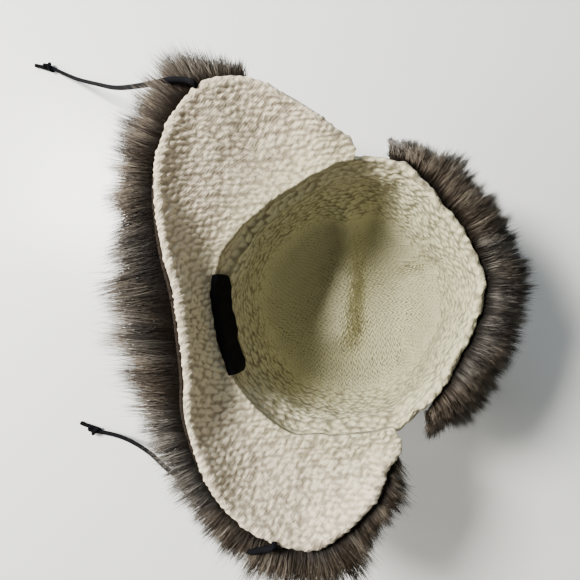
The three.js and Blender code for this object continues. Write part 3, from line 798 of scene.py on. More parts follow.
def cable(a, z, s):
    """Relief of the cables, the height of their top strand's stitches and the place
    across it. A strand is a rounded bar round its swinging middle; the one on top of a
    crossing is higher."""
    pitch = 360 / CABLES
    wide = np.radians(pitch) * 95
    across = ((a / pitch) % 1 - 0.5) * wide
    turn = np.pi * s / CABLE_TWIST
    best, place = np.zeros_like(across), np.zeros_like(across)
    for side in (1, -1):
        middle = side * 7.6 * np.cos(turn)
        d = across - middle
        over = 0.72 + 0.28 * side * np.sin(turn)
        bar = np.sqrt(clamp01(1 - (d / 8.6) ** 2)) * over
        place = np.where(bar > best, d, place)
        best = np.maximum(best, bar)
    fade = smooth((z - 4) / 14) * smooth((RIM_Z - 8 - z) / 9)
    return best * fade, place


# %% Outside surface with cables, strand stitches and purl ground
ground_a = np.arange(GROUND) * 360 / GROUND
out_angle, out_length = np.meshgrid(ground_a, outside_s, indexing="xy")
out_height, out_radius = np.repeat(outside_rows[:, :1], GROUND, 1), np.repeat(outside_rows[:, 1:2], GROUND, 1)
outside_points = around_hat(out_angle, out_height, out_radius)
dent = fold_height(outside_points[..., 0], outside_points[..., 1])
dent = dent * smooth((out_height - 16) / 22) * wall_share(out_height)
soft = ripple(out_angle / 360 * RIM_ROUND, out_height, 9, 70) * 1.2
soft = soft * smooth((out_height - 12) / 20) * smooth((108 - out_height) / 20)
rope, strand_place = cable(out_angle, out_height, out_length)
outside_points -= out(out_angle) * (dent + soft)[..., None]
outside_points += out(out_angle) * (CABLE_H * rope)[..., None]
on_rope = smooth((rope - 0.25) / 0.2)
ground = purl(out_angle / 360 * COLUMNS_ROUND, out_length / ROW_MM)
STRAND_COLUMN = 4.3  # width of a column on the strands
strands = vee(strand_place / STRAND_COLUMN + 0.5, out_length / ROW_MM)
outside_relief = mix(ground * 0.75, strands, on_rope)
outside_faces = grid_faces(len(outside_s), GROUND, ring=True)
flat_points = np.vstack([outside_points.reshape(-1, 3), [0, 0, 0]])
cap = np.arange(GROUND)
base_fan = np.stack([np.full(GROUND, len(flat_points) - 1), (cap + 1) % GROUND, cap], -1)
outside_faces = np.vstack([outside_faces, base_fan])
crown_outside = piece("crown_outside", flat_points, outside_faces, wool_outside)
base = smooth((out_length.ravel() - 40) / 20)
raise_by(crown_outside, np.r_[outside_relief.ravel() * base, 0])
point_value(crown_outside, "relief", np.r_[outside_relief.ravel(), 0.5])
face_a = past_seam(np.r_[out_angle.ravel(), 0][outside_faces], 360)
face_s = np.r_[out_length.ravel(), 0][outside_faces]
pole = outside_faces == len(flat_points) - 1
face_a = np.where(pole, face_a.sum(1, keepdims=True) / 2, face_a)
corner_map(crown_outside, "stitches", face_a / 360 * COLUMNS_ROUND, face_s / ROW_MM)
bake_map(crown_outside, clamp01(face_a / 360), face_s / outside_s[-1])
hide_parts("crown")

# %% [markdown]
# ## Ear flaps and neck band
# One knitted piece is sewn to the rim round the back. Its sections leave the rim, dip a
# little and rise to a free edge about 15 cm above the table. Each section is a Bezier
# curve from the seam to the edge, and the sections are carried along two smooth tables:
# the seam with its cup, and the edge. The piece is a closed skin: upper face, rounded
# edge, lower face.

# %% Sections of the flaps
# Each row: the angle at the seam, the edge's x, y and z, the cup, and how far the fur stands out
FLAP = np.array([(79, 111, -14, 125, 1, 8), (86, 117, -1, 131, 3, 8), (93, 128, 13, 138, 7, 8),
    (100, 143, 32, 143, 9, 9), (107, 155, 51, 147, 11, 9), (113, 159, 68, 149, 11, 20),
    (119, 155, 86, 151, 10, 46), (125, 142, 102, 152, 9, 42), (132, 122, 113, 153, 8, 39),
    (140, 100, 120, 154, 6, 36), (149, 77, 121, 155, 4, 33), (160, 50, 120, 155, 3, 43),
    (172, 20, 116, 155, 2, 54), (184, -9, 116, 155, 2, 53), (196, -36, 117, 155, 3, 48),
    (208, -57, 120, 155, 4, 37), (218, -79, 118, 154, 6, 30), (227, -102, 112, 153, 8, 27),
    (235, -121, 103, 152, 9, 26), (242, -136, 87, 151, 10, 31), (248, -147, 68, 149, 11, 36),
    (254, -149, 51, 147, 11, 36), (260, -141, 32, 143, 9, 24), (266, -129, 15, 138, 7, 21),
    (273, -114, 3, 131, 3, 21), (280, -104, -12, 125, 1, 18)], float)  # fmt: skip
SEAM_CUP, EDGE, STANDS = FLAP[:, [0, 4]], FLAP[:, [1, 2, 3]], FLAP[:, [5]]
GAP, FUR_GAP = 0.35, 1.15


def beyond_rim(p):
    """How far a place lies outside the rim, seen from above."""
    a = np.degrees(np.arctan2(p[..., 0], LEAN - p[..., 1]))
    return np.hypot(p[..., 0], p[..., 1] - LEAN) - rim_radius(a)


def flap_point(w, v):
    """The upper face at share w round the flaps and v from the seam to the edge: a Bezier
    curve whose inner points sink by the cup, held above the rim where it passes over it."""
    w, v = np.broadcast_arrays(np.asarray(w, float), np.asarray(v, float))
    seam, cup = along_rows(SEAM_CUP, w).transpose(-1, *range(w.ndim))
    edge = along_rows(EDGE, w)
    start = around_hat(seam, np.full_like(seam, RIM_Z), np.full_like(seam, RIM_R)) - out(seam) * KNIT
    start[..., 2] = RIM_Z + GAP + KNIT
    flat = (edge - start) * (1, 1, 0)
    reach = np.linalg.norm(flat, axis=-1, keepdims=True)
    flat = flat / reach
    near = start + flat * np.maximum(7, 0.35 * reach)
    near[..., 2] -= cup * 0.5
    far = start + flat * reach * 0.8
    far[..., 2] += (edge[..., 2] - start[..., 2]) * 0.58 - cup * 0.7
    k = v[..., None]
    p = (1 - k) ** 3 * start + 3 * (1 - k) ** 2 * k * near + 3 * (1 - k) * k**2 * far + k**3 * edge
    floor = RIM_Z + GAP + KNIT - 0.2
    p[..., 2] = np.where(beyond_rim(p) < 2.5, np.maximum(p[..., 2], floor), p[..., 2])
    return p


def flap_normal(w, v):
    """The way that the upper face looks: the step outward crossed with the step round."""
    around = flap_point(np.minimum(1, w + 0.004), v) - flap_point(np.maximum(0, w - 0.004), v)
    outward = flap_point(w, np.minimum(1, v + 0.03)) - flap_point(w, np.maximum(0, v - 0.03))
    return unit(np.cross(outward, around))


SHARES = np.linspace(0, 1, 401)
far_v = np.linspace(0.02, 0.7, 69)
over_rim = beyond_rim(flap_point(SHARES[:, None], far_v[None])) >= 1.5
STEP_V = far_v[np.where(over_rim.any(1), over_rim.argmax(1), len(far_v) - 1)]


def rim_step(w):
    """Where a section passes over the outer edge of the rim."""
    return np.interp(w, SHARES, STEP_V)


def flap_under(w, v, depth):
    """The lower face: flat on the rim, and beyond it at a depth below the upper face."""
    p = flap_point(w, v)
    depth = np.broadcast_to(depth, p.shape[:-1])
    deep = p - flap_normal(w, v) * depth[..., None]
    flat = p.copy()
    flat[..., 2] = RIM_Z + GAP - (depth - KNIT)
    k = smooth((v - rim_step(w)) / 0.05)[..., None]
    return mix(flat, deep, k)


# %% Knit of the flaps: a closed skin with its purl side up
# Hollows and humps of the lining: x and y of the middle, half width, depth (less than 0: a hump)
DIMPLES = [(112, 36, 24, 4), (138, 78, 17, -3), (112, 88, 17, -3.5), (84, 96, 16, -3.5),
    (129, 52, 9, 1.2), (104, 84, 11, 1.4), (-115, 52, 9, 2.0), (-138, 60, 4, 1.6),
    (-98, 78, 12, 1.6), (-66, 108, 13, 2.4)]  # fmt: skip
BUMP_HIGH = 1.5  # height of the lining's stitches
w_line = np.linspace(0, 1, 600)
up_v = np.linspace(0, 1, 66)
down_v = np.linspace(1, 0, 14)


def lining_skin():
    """Upper face, half circle round the edge and lower face, as one ring of points for
    each section. The two end sections close like a rounded purse."""
    w = w_line[None]
    upper = flap_point(w, up_v[:, None])
    lower = flap_under(w, down_v[:, None], KNIT)
    top_edge, low_edge = upper[-1], lower[0]
    outward = unit(flap_point(w_line, 1.0) - flap_point(w_line, 0.93))
    turn = np.radians([30, 60, 90, 120, 150])[:, None, None]
    middle, half = (top_edge + low_edge) / 2, (top_edge - low_edge) / 2
    lip = middle + half * np.cos(turn) + outward * 2.9 * np.sin(turn)
    skin = np.concatenate([upper, lip, lower])
    closing = np.minimum(clamp01(w_line / 0.008), clamp01((1 - w_line) / 0.008))
    closing = np.sqrt(clamp01(1 - (1 - closing) ** 2)) * 0.985 + 0.015
    heart = skin.mean(0)
    return heart + (skin - heart) * closing[None, :, None]


skin = lining_skin()
rows, cols = skin.shape[:2]
is_top = np.zeros((rows, cols))
is_top[: len(up_v) + 4] = 1.0
x, y = skin[..., 0], skin[..., 1]
step = np.diff(skin, axis=0, prepend=skin[:1])
level = np.linalg.norm(step[..., :2], axis=-1)
steep = (np.linalg.norm(step, axis=-1) - level)[..., None] * step[..., :2]
steep = steep / np.maximum(level, 0.05)[..., None]
knit_x, knit_y = (skin[..., :2] + np.cumsum(steep, axis=0)).transpose(2, 0, 1)
stitch_u = (knit_y + 0.06 * knit_x + 2.4 * ripple(x, y, 21, 60) + ripple(x, y, 23, 13)) / 7.2
stitch_v = (knit_x - 0.05 * knit_y + 2.0 * ripple(x, y, 22, 55) + 1.5 * ripple(x, y, 24, 12)) / 4.2
fluff = ripple(knit_x, knit_y, 25, 6) + ripple(knit_x, knit_y, 26, 3.4)
bumps = clamp01(purl(stitch_u, stitch_v) * (1 + 0.25 * ripple(x, y, 27, 30)) + 0.16 * fluff)
from_rim = np.r_[up_v * 60, np.full(5, 60.0), down_v * 60][:, None] * np.ones((1, cols))
sunk = sum(d * np.exp(-(((x - px) ** 2 + (y - py) ** 2) / r**2)) for px, py, r, d in DIMPLES)
skin_faces = grid_faces(rows, cols)
seam_join = np.stack([np.arange(cols - 1), np.arange(cols - 1) + 1], -1)
last = (rows - 1) * cols
skin_faces = np.vstack([skin_faces,
    np.stack([last + seam_join[:, 0], last + seam_join[:, 1], seam_join[:, 1]], -1),
    np.stack([last + seam_join[:, 0], seam_join[:, 1], seam_join[:, 0]], -1)])  # fmt: skip
ends = []
points = skin.reshape(-1, 3)
for column, flip in ((0, 1), (cols - 1, -1)):
    ring = np.arange(rows) * cols + column
    ends.append(np.stack([np.full(rows, len(points) + len(ends)), ring, np.roll(ring, -1)], -1)[:, ::flip])
points = np.vstack([points, skin[:, 0].mean(0), skin[:, -1].mean(0)])
skin_faces = turn_outward(points - points.mean(0), np.vstack([skin_faces, *ends]))
flap_knit = piece("flap_knit", points, skin_faces, wool_flap)
ripples = ripple(x, y, 31, 42) * 1.1 * is_top * smooth((from_rim - 12) / 20)
height = (BUMP_HIGH * bumps * is_top + ripples - sunk * is_top) * smooth((from_rim + 3) / 6)
raise_by(flap_knit, np.r_[height.ravel(), 0, 0])
point_value(flap_knit, "relief", np.r_[(bumps * is_top).ravel(), 0.5, 0.5])
turned = np.linspace(0, 1, rows)[:, None] * np.ones((1, cols))
around = w_line[None] * np.ones((rows, 1))
corner_map(flap_knit, "stitches", *(np.r_[c.ravel(), 0, 0][skin_faces] for c in (stitch_u, stitch_v)))
place_v = past_seam(np.r_[turned.ravel(), 0.5, 0.5][skin_faces])
bake_map(flap_knit, np.r_[around.ravel(), 0, 1][skin_faces], place_v, wide=0.97)
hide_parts("flap_lining")

# %% [markdown]
# ## The label
# A strip of black ribbon, folded double, is sewn by its upper edge over the seam between
# the crown and the neck band, inside the back of the rim. Its lower edge is free and bows
# away from the wall. It is left bare. The strip's section is a curve over the seam and
# down into the hollow, made into a thin closed loop and carried along the wall.

# %% Bow the ribbon off the wall
def back_wall(x, z):
    """The y of the back wall's inside at some x and height: the angle there is found by
    going back and forth a few times between the angle and the wall's radius at it."""
    rows = np.array(INSIDE_PLAIN)[6:]
    r = np.interp(-z, -rows[:, 0], rows[:, 1])
    y = np.full_like(x, 100.0)
    for _ in range(9):
        a = np.degrees(np.arctan2(x, -y))
        y = np.sqrt(waved(a, z, r) ** 2 - x**2)
    return y + LEAN * clamp01(z / RIM_Z)


def ribbon_finish():
    """Black woven ribbon: fine ribs along it and finer threads across, a satin sheen."""
    r = Recipe("black woven ribbon")
    along, across = r.map_axes("stitches")
    ribs = r.math("SINE", r.math("MULTIPLY", across, TURN / 0.7))
    threads = r.math("SINE", r.math("MULTIPLY", along, TURN / 0.45))
    weave = r.math("MULTIPLY_ADD", ribs, 0.7, r.math("MULTIPLY", threads, 0.3))
    # The gaps between the ribs and threads are painted darker than their tops: painted shade.
    gap_shade_mix = r.math("MULTIPLY_ADD", weave, 0.5, 0.5)
    shade = r.blend((0.002, 0.002, 0.003, 1), (0.006, 0.006, 0.008, 1), gap_shade_mix)
    relief = r.bump(weave, 0.0001)
    return r.set(Base_Color=shade, Roughness=0.75, Specular_IOR_Level=0.04, Normal=relief)


# Section of the strip: out from the seam's inner edge and up from the rim
LABEL_STRIP = [(2.0, 8.4), (-1.2, 7.2), (-2.4, 2.5), (-3.4, -6.0), (-5.0, -14.2)]
LABEL_X0, LABEL_X1, LABEL_THICK, LABEL_BOW = 33.0, -40.0, 1.3, 2.5
STRIP = 26  # points down the strip
k = np.linspace(0, 1, 110)[:, None]
at_end = np.minimum(k, 1 - k)
reach = 1 - 0.2 * (1 - np.sqrt(clamp01(1 - (1 - clamp01(at_end / 0.06)) ** 2)))
v = reach * np.linspace(0, 1, STRIP)
spine = along_rows(LABEL_STRIP, v)
step = unit(along_rows(LABEL_STRIP, v + 0.02) - along_rows(LABEL_STRIP, v - 0.02))
facing = np.stack([step[..., 1], -step[..., 0]], -1)
label_x = mix(LABEL_X0, LABEL_X1, k) * np.ones_like(v)
low = clamp01((2.5 - spine[..., 1]) / 16.7)
puff = LABEL_THICK * (0.8 + 0.6 * np.sin(np.pi * clamp01(v)) * np.sin(np.pi * k))
bow = LABEL_BOW * clamp01(np.sin(np.pi * k)) ** 0.7 * low**1.2
crumple = 0.6 * np.sin(k * 17 + v * 2) * low + 0.25 * np.sin(k * 41 + v * 6)
seam_y = back_wall(label_x, np.full_like(label_x, RIM_Z)) - bow + crumple
turn = np.radians([45, 90, 135])[None, :, None]


def section_end(i, way):
    """The rounded fold at one end of the strip's section, as three points."""
    thick = puff[:, i, None, None]
    middle = spine[:, i, None] + facing[:, i, None] * thick * (0.5 - 0.5 * np.cos(turn))
    return middle + way * step[:, i, None] * thick * 0.5 * np.sin(turn)


front = spine + facing * puff[..., None]
top_end = section_end(0, -1)[:, ::-1]
loop = np.concatenate([spine, section_end(-1, 1), front[:, ::-1], top_end], 1)
n_along, n_loop = loop.shape[:2]


def round_section(strip):
    """Values down the strip, carried round its whole section in the loop's order."""
    return np.concatenate([strip, strip[:, [-1] * 3], strip[:, ::-1], strip[:, [0] * 3]], 1)


loop_x = np.broadcast_to(label_x[:, :1], loop.shape[:2])
label_points = np.stack([loop_x, round_section(seam_y) + loop[..., 0], RIM_Z + loop[..., 1]], -1)
label_points = label_points.reshape(-1, 3)
c, m = np.arange(STRIP - 1), STRIP
paired = 2 * m + 2 - c
end_faces = np.vstack([np.stack([c, c + 1, paired - 1], -1), np.stack([c, paired - 1, paired], -1),
    [(m - 1, m, m + 3), (m, m + 1, m + 3), (m + 1, m + 2, m + 3)],
    [(2 * m + 2, 2 * m + 3, 0), (2 * m + 3, 2 * m + 4, 0), (2 * m + 4, 2 * m + 5, 0)]])  # fmt: skip
label_ends = [end_faces[:, ::-1], end_faces + (n_along - 1) * n_loop]
label_faces = np.vstack([grid_faces(n_along, n_loop, ring=True), *label_ends])
label_faces = turn_outward(label_points - label_points.mean(0), label_faces)
woven_label = piece("woven_label", label_points, label_faces, ribbon_finish())
run = round_section(v) * 24
corner_map(woven_label, "stitches", label_points[label_faces, 0], run.ravel()[label_faces])
label_u = np.repeat(k.ravel(), n_loop)[label_faces]
label_w = np.tile(np.arange(n_loop) / n_loop, n_along)[label_faces]
sides = len(label_faces) - 2 * len(end_faces)
label_w[:sides] = past_seam(label_w[:sides])
bake_map(woven_label, label_u, label_w)
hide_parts("label")

# %% [markdown]
# ## The fur
# Fur fabric is a knitted backing with deep pile: dark at the roots, brown above, with a
# pale grey band and dark fine tips. Blender's hair would be the usual way, but hair
# curves don't leave Blender as a mesh. So each hair here is a tiny closed blade of three
# sides: two or three rings of three points and one point at the tip. Thousands of them
# are worked out in one go. Their tips are drawn together in small tufts, which is what
# makes fur look like fur, and large soft waves turn and lengthen whole patches.

# %% Fur finish
# Share of the way to the tip, and the colour there
FUR_STOPS = [(0.0, 0.004, 0.003, 0.002), (0.2, 0.012, 0.008, 0.006), (0.42, 0.06, 0.04, 0.025),
    (0.62, 0.17, 0.125, 0.085), (0.77, 0.36, 0.3, 0.23), (0.88, 0.11, 0.085, 0.062),
    (1.0, 0.012, 0.01, 0.008)]  # fmt: skip
FUR_GAIN = 0.72  # how bright the fur's colours are in all


def tint(*colour):
    """A colour of the fur with its gain."""
    return tuple(v * FUR_GAIN for v in colour) + (1,)


def fur_finish(name):
    """Colour by the place along the hair, from root to tip, and by the tuft's tone, both
    read from the hair's own map: x is the tone, y the share of the way to the tip."""
    r = Recipe(name)
    tone, along = r.map_axes("OFBake")
    ramp = r.tree.nodes.new("ShaderNodeValToRGB")
    while len(ramp.color_ramp.elements) < len(FUR_STOPS):
        ramp.color_ramp.elements.new(0.5)
    for stop, (at, *colour) in zip(ramp.color_ramp.elements, FUR_STOPS):
        stop.position, stop.color = at, tint(*colour)
    r.tree.links.new(along, ramp.inputs[0])
    dark_tuft = r.math("MULTIPLY", r.math("POWER", r.math("SUBTRACT", 1.0, tone), 1.6), 1.15)
    brown = r.blend(ramp.outputs[0], tint(0.028, 0.018, 0.011), r.math("MINIMUM", dark_tuft, 0.93))
    pale = r.math("MULTIPLY", r.math("POWER", tone, 2.0), r.math("PINGPONG", along, 0.5))
    shade = r.blend(brown, tint(0.5, 0.43, 0.34), pale)
    patches = {"Value": r.noise(15, 1.0), "From Min": 0.5, "From Max": 0.62}
    patches = r.node("ShaderNodeMapRange", inputs=patches)
    greyed = {"Saturation": 0.55, "Value": 0.85, "Color": shade}
    greyed = r.node("ShaderNodeHueSaturation", inputs=greyed)
    shade = r.blend(shade, greyed, patches)
    return r.set(Base_Color=shade, Roughness=0.6, Specular_IOR_Level=0.25)


fur_brown = fur_finish("brown fur")


def hairs(name, root, lean, tip, wide, tone, steps, material):
    """Closed three-sided blades. A hair's middle line is the curve (1-t)^2 root +
    2t(1-t) lean + t^2 tip. Rings of three points stand round it at the given steps, thinner
    toward the tip, where one point closes it."""
    n, m = len(root), len(steps)
    t = np.array(steps)[None, :, None]
    middle = (1 - t) ** 2 * root[:, None] + 2 * t * (1 - t) * lean[:, None] + t**2 * tip[:, None]
    ahead = unit(2 * (1 - t) * (lean - root)[:, None] + 2 * t * (tip - lean)[:, None] + 1e-6)
    turn = np.random.default_rng(len(name) + n).uniform(0, 2 * np.pi, (n, 1))
    guide = np.stack([np.cos(turn), np.sin(turn), 0.35 + 0 * turn], -1)
    side = unit(np.cross(ahead, guide))
    up = np.cross(ahead, side)
    thin = wide[:, None, None] / 2 * (1 - 0.85 * t**2.2)
    rings = [middle + thin * (np.cos(q) * side + np.sin(q) * up) for q in np.radians([0, 120, 240])]
    points = np.concatenate([np.stack(rings, 2).reshape(n, m * 3, 3), tip[:, None]], 1)
    size = m * 3 + 1
    one = [(0, 2, 1)]
    for j in range(m - 1):
        for i in range(3):
            a, b = 3 * j + i, 3 * j + (i + 1) % 3
            one += [(a, b, b + 3), (a, b + 3, a + 3)]
    one += [(3 * m - 3 + i, 3 * m - 3 + (i + 1) % 3, 3 * m) for i in range(3)]
    one = np.array(one)
    faces = (one[None] + (np.arange(n) * size)[:, None, None]).reshape(-1, 3)
    obj = piece(name, points.reshape(-1, 3), faces, material)
    level = np.r_[np.repeat(steps, 3), 1.0][one]
    column = np.r_[np.tile([-0.003, 0.0, 0.003], m), 0.0][one]
    last_side = np.ptp(column, axis=1) > 0.005
    column[last_side] = np.where(column[last_side] < -0.001, 0.006, column[last_side])
    column[0], level[0] = (-0.003, 0.003, 0.0), (0.0, 0.0, 0.008)
    toned = np.clip(tone[:, None, None] * 0.96 + 0.02 + column[None], 0.001, 0.999)
    corner_map(obj, "OFBake", toned, np.broadcast_to(clamp01(level)[None], toned.shape))
    return obj


def off_cords(root, lean, tip, room=2.6):
    """Which hairs stay clear of the cords: four places along each hair against the routes."""
    clear = np.ones(len(root), bool)
    for route in (right_route, left_route):
        for t in (0.3, 0.55, 0.8, 1.0):
            p = (1 - t) ** 2 * root + 2 * t * (1 - t) * lean + t**2 * tip
            gap = np.linalg.norm(p[:, None] - route[None, ::4], axis=-1).min(1)
            clear &= gap > room
    return clear


# %% [markdown]
# ## Fur of the flaps and the neck band
# The backing lies close under the knit. Hairs at its edge stand outward and make the
# dark ring round the hat in the photograph. Further in they turn down, and they clothe
# the outside of the flaps as seen from the side.

# %% Backing and roots
FUR_BACKING = 2.4  # thickness of the fur's ground
FUR_ENDS = (0.012, 0.988)  # shares of the way round the flaps where the fur starts and ends
start_grid = np.linspace(0.02, 0.8, 79)
clear_of_wall = beyond_rim(flap_under(SHARES[:, None], start_grid[None], KNIT + GAP)) >= 3.4
START_V = start_grid[np.where(clear_of_wall.any(1), clear_of_wall.argmax(1), len(start_grid) - 1)]


def fur_face(w, k, depth):
    """A point under the knit at share w round the flaps and k from the wall to the edge.
    Where no fur shows beyond the knit in the photograph, it ends a little inside the edge."""
    w = mix(*FUR_ENDS, np.asarray(w, float))
    end = 1 - 0.24 * smooth((14 - along_rows(STANDS, w)[..., 0]) / 4)
    return flap_under(w, mix(np.interp(w, SHARES, START_V), end, k), KNIT + FUR_GAP + depth)


def slab(name, near, far, material, rows, cols):
    """A closed sheet from its two faces: both grids are joined round their four sides."""
    a, b = near.reshape(-1, 3), far.reshape(-1, 3)
    f = grid_faces(rows, cols)
    n = rows * cols
    g = np.arange(n).reshape(rows, cols)
    rim = np.concatenate([g[0, :-1], g[:-1, -1], g[-1, :0:-1], g[:0:-1, 0]])
    following = np.roll(rim, -1)
    side = [np.stack([rim, following, following + n], -1), np.stack([rim, following + n, rim + n], -1)]
    side = np.vstack(side)
    points = np.vstack([a, b])
    top_out = turn_outward(points - points.mean(0), np.vstack([f, f[:, ::-1] + n, side[:, ::-1]]))
    obj = piece(name, points, top_out, material)
    u = np.tile(np.arange(cols) / (cols - 1), rows)
    v = np.repeat(np.arange(rows) / (rows - 1), cols)
    across, down = np.tile(u * 0.94 + 0.03, 2), np.r_[v * 0.46 + 0.02, v * 0.46 + 0.52]
    corner_map(obj, "OFBake", across[top_out], down[top_out])
    return obj


def backing_finish():
    """The dark knitted ground under the pile, with short dense underfur."""
    r = Recipe("dark ground of the fur")
    n = r.noise(900, 4.0)
    shade = r.blend((0.006, 0.005, 0.004, 1), (0.035, 0.026, 0.02, 1), n)
    return r.set(Base_Color=shade, Roughness=0.95, Specular_IOR_Level=0.1, Normal=r.bump(n, 0.0006))


ground_dark = backing_finish()
ground_w, ground_k = np.meshgrid(np.linspace(0, 1, 260), np.linspace(0, 1, 14))
near, far = (fur_face(ground_w, ground_k, depth) for depth in (0, FUR_BACKING))
flap_backing = slab("fur_ground_flaps", near, far, ground_dark, *ground_w.shape)
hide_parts("flap_fur")


def scatter(corner_points, count, seed, weight=None):
    """Places spread evenly by area over a grid of points: a cell is drawn as often as it
    is large (times its weight), and the place in it is drawn evenly. Gives both shares."""
    p = corner_points
    area = np.linalg.norm(np.cross(p[1:, :-1] - p[:-1, :-1], p[:-1, 1:] - p[:-1, :-1]), axis=-1)
    if weight is not None:
        area = area * weight[:-1, :-1]
    dice = np.random.default_rng(seed)
    pick = np.searchsorted(np.cumsum(area.ravel()) / area.sum(), dice.random(count))
    row, col = np.divmod(np.minimum(pick, area.size - 1), area.shape[1])
    return (col + dice.random(count)) / area.shape[1], (row + dice.random(count)) / area.shape[0], dice


def tufts(root, tip, w, k, across, down, draw, dice, seed):
    """Draws the tips of a tuft together. A tuft is a cell of a jittered grid in w and k,
    and each tip goes part of the way to the mean of its cell's tips. A whole tuft is
    longer or shorter than the next, and has one tone."""
    column = np.floor(w * across + dice.normal(0, 0.16, len(w)))
    cell = column * 1000 + np.floor(k * down + dice.normal(0, 0.16, len(w)))
    _, which = np.unique(cell, return_inverse=True)
    total = np.zeros((which.max() + 1, 3))
    np.add.at(total, which, tip)
    centre = total / np.bincount(which)[:, None]
    tuft_dice = np.random.default_rng(seed)
    tone = tuft_dice.beta(0.9, 1.2, which.max() + 1)[which]
    stretch = tuft_dice.uniform(0.74, 1.08, which.max() + 1)[which][:, None]
    return root + (mix(tip, centre[which], draw[:, None]) - root) * stretch, tone


def grow(name, node, root, way, bend, long, patch, place, cells, wide, steps, dice, seed):
    """Hairs from their roots along their ways. A hair is as long as given, times its own
    chance and its patch's, sinks by its length squared, is drawn into its tuft, and
    starts out bent toward bend."""
    count = len(root)
    long = long * dice.uniform(0.62, 1.18, count) * (1 + 0.12 * patch)
    tip = root + way * long[:, None]
    tip[:, 2] -= 0.0035 * long**2
    tip, tone = tufts(root, tip, *place, *cells, dice.uniform(0.2, 0.85, count), dice, seed + 4)
    lean = root + unit(way + bend + dice.normal(0, 0.08, (count, 3))) * (long * 0.5)[:, None]
    keep = off_cords(root, lean, tip)
    tone = clamp01(tone + dice.normal(0, 0.2, count))[keep]
    width = (wide * dice.uniform(0.75, 1.25, count))[keep]
    obj = hairs(name, root[keep], lean[keep], tip[keep], width, tone, steps, fur_brown)
    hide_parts(node)


# %% Hairs of the flaps
def flap_hairs(name, count, seed, k_from, k_to, wide, steps):
    """Roots on the backing's outer face. A hair goes level outward at the edge and more
    and more downward further in, with soft waves of turn; its length follows how far the
    fur stands out there in the photograph."""
    grid_w, grid_k = np.meshgrid(np.linspace(0, 1, 400), np.linspace(k_from, k_to, 12))
    w, share, dice = scatter(fur_face(grid_w, grid_k, FUR_BACKING), count, seed)
    k = mix(k_from, k_to, share)
    root = fur_face(w, k, 2.3 * dice.random(count) ** 0.4)
    spot = mix(*FUR_ENDS, w)
    edge_way = along_rows(EDGE, np.minimum(1, spot + 0.01))
    edge_way = unit((edge_way - along_rows(EDGE, np.maximum(0, spot - 0.01))) * (1, 1, 0))
    level = np.stack([edge_way[:, 1], -edge_way[:, 0], 0 * w], -1)
    below = -flap_normal(spot, mix(np.interp(spot, SHARES, START_V), 1, k))
    at = [0.14, 0.4, 0.67, 0.93]
    way = level + below * np.interp(k, at, [1.2, 0.9, 0.5, 0.1])[:, None]
    wave, lift, patch = (ripple(w * 620, k * 50, seed + i, size) for i, size in ((1, 60), (2, 45), (3, 30)))
    way += edge_way * (0.45 * wave + dice.normal(0, 0.2, count))[:, None]
    way[:, 2] += np.interp(k, at, [-0.3, -0.15, 0.0, 0.12]) + 0.16 * lift + dice.normal(0, 0.1, count)
    stands = along_rows(STANDS, spot)[:, 0]
    way[:, 2] -= 1.5 * smooth((13 - stands) / 4) * (0.6 + 0.4 * wave)
    way = unit(way)
    shown = stands * np.interp(k, at, [0.5, 0.65, 0.85, 1.12])
    long = np.maximum(np.interp(k, at, [22, 20, 17, 9]), shown)
    cells = (140, 10 * (k_to - k_from) + 2)
    grow(name, "flap_fur", root, way, below * 0.35, long, patch, (w, k), cells, wide, steps, dice, seed)


# Where along a hair its rings of points stand
BENT, STRAIGHT = (0.0, 0.55), (0.0,)
flap_hairs("fur_flaps_rim", 9500, 101, 0.92, 1.0, 0.44, BENT)
flap_hairs("fur_flaps_edge", 29000, 111, 0.68, 0.97, 0.46, STRAIGHT)
flap_hairs("fur_flaps_middle", 15000, 202, 0.32, 0.74, 0.56, STRAIGHT)
flap_hairs("fur_flaps_low", 9000, 303, 0.0, 0.4, 0.6, STRAIGHT)

# %% [markdown]
# ## The peak
# The front peak is a doubled piece of the same fur fabric, folded back against the
# outside of the crown. From above only its pile shows, beyond the rolled rim.

# %% Peak's slab and its hairs
PEAK_SPAN, PEAK_DEEP, PEAK_THICK = 66.0, 66.0, 7.0
OUTER_ROWS = [(0, 52), (2.5, 61), (9, 71), (20, 80), (35, 87.5), (52, 92), (70, 94.5), (88, 96),
    (104, 97), (118, 97)]  # fmt: skip


def outside_radius(z):
    """The crown's plain outer radius at a height."""
    return np.interp(z, *np.array(OUTER_ROWS, float).T)


def peak_point(a, d, lift):
    """A point of the peak at depth share d below the rim, lifted off the crown: the crown's
    outside plus room for the cables and for the slab's own stiffness."""
    high = mix(116, 117.5, smooth((PEAK_SPAN - np.abs(a)) / 20))
    deep = PEAK_DEEP * (0.3 + 0.7 * np.cos(np.radians(a / PEAK_SPAN * 84)) ** 0.55)
    z = high - deep * d
    clear = 0.9 + 4 * smooth((RIM_Z - 2 - z) / 10) + 5 * d
    p = around_hat(a, z, outside_radius(z))
    return p + out(a) * (clear + lift)[..., None]


peak_angle, peak_share = np.meshgrid(np.linspace(-PEAK_SPAN, PEAK_SPAN, 90), np.linspace(0, 1, 26))
rounded = np.sqrt(clamp01(1 - (np.abs(peak_angle) / PEAK_SPAN) ** 6))
rounded = rounded * np.sqrt(clamp01(1 - (np.abs(peak_share - 0.5) * 2) ** 8))
half = PEAK_THICK / 2
near, far = (peak_point(peak_angle, peak_share, half + way * half * rounded) for way in (-1, 1))
peak_ground = slab("fur_ground_peak", near, far + out(peak_angle) * 0.02, ground_dark, *peak_angle.shape)
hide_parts("peak_fur")


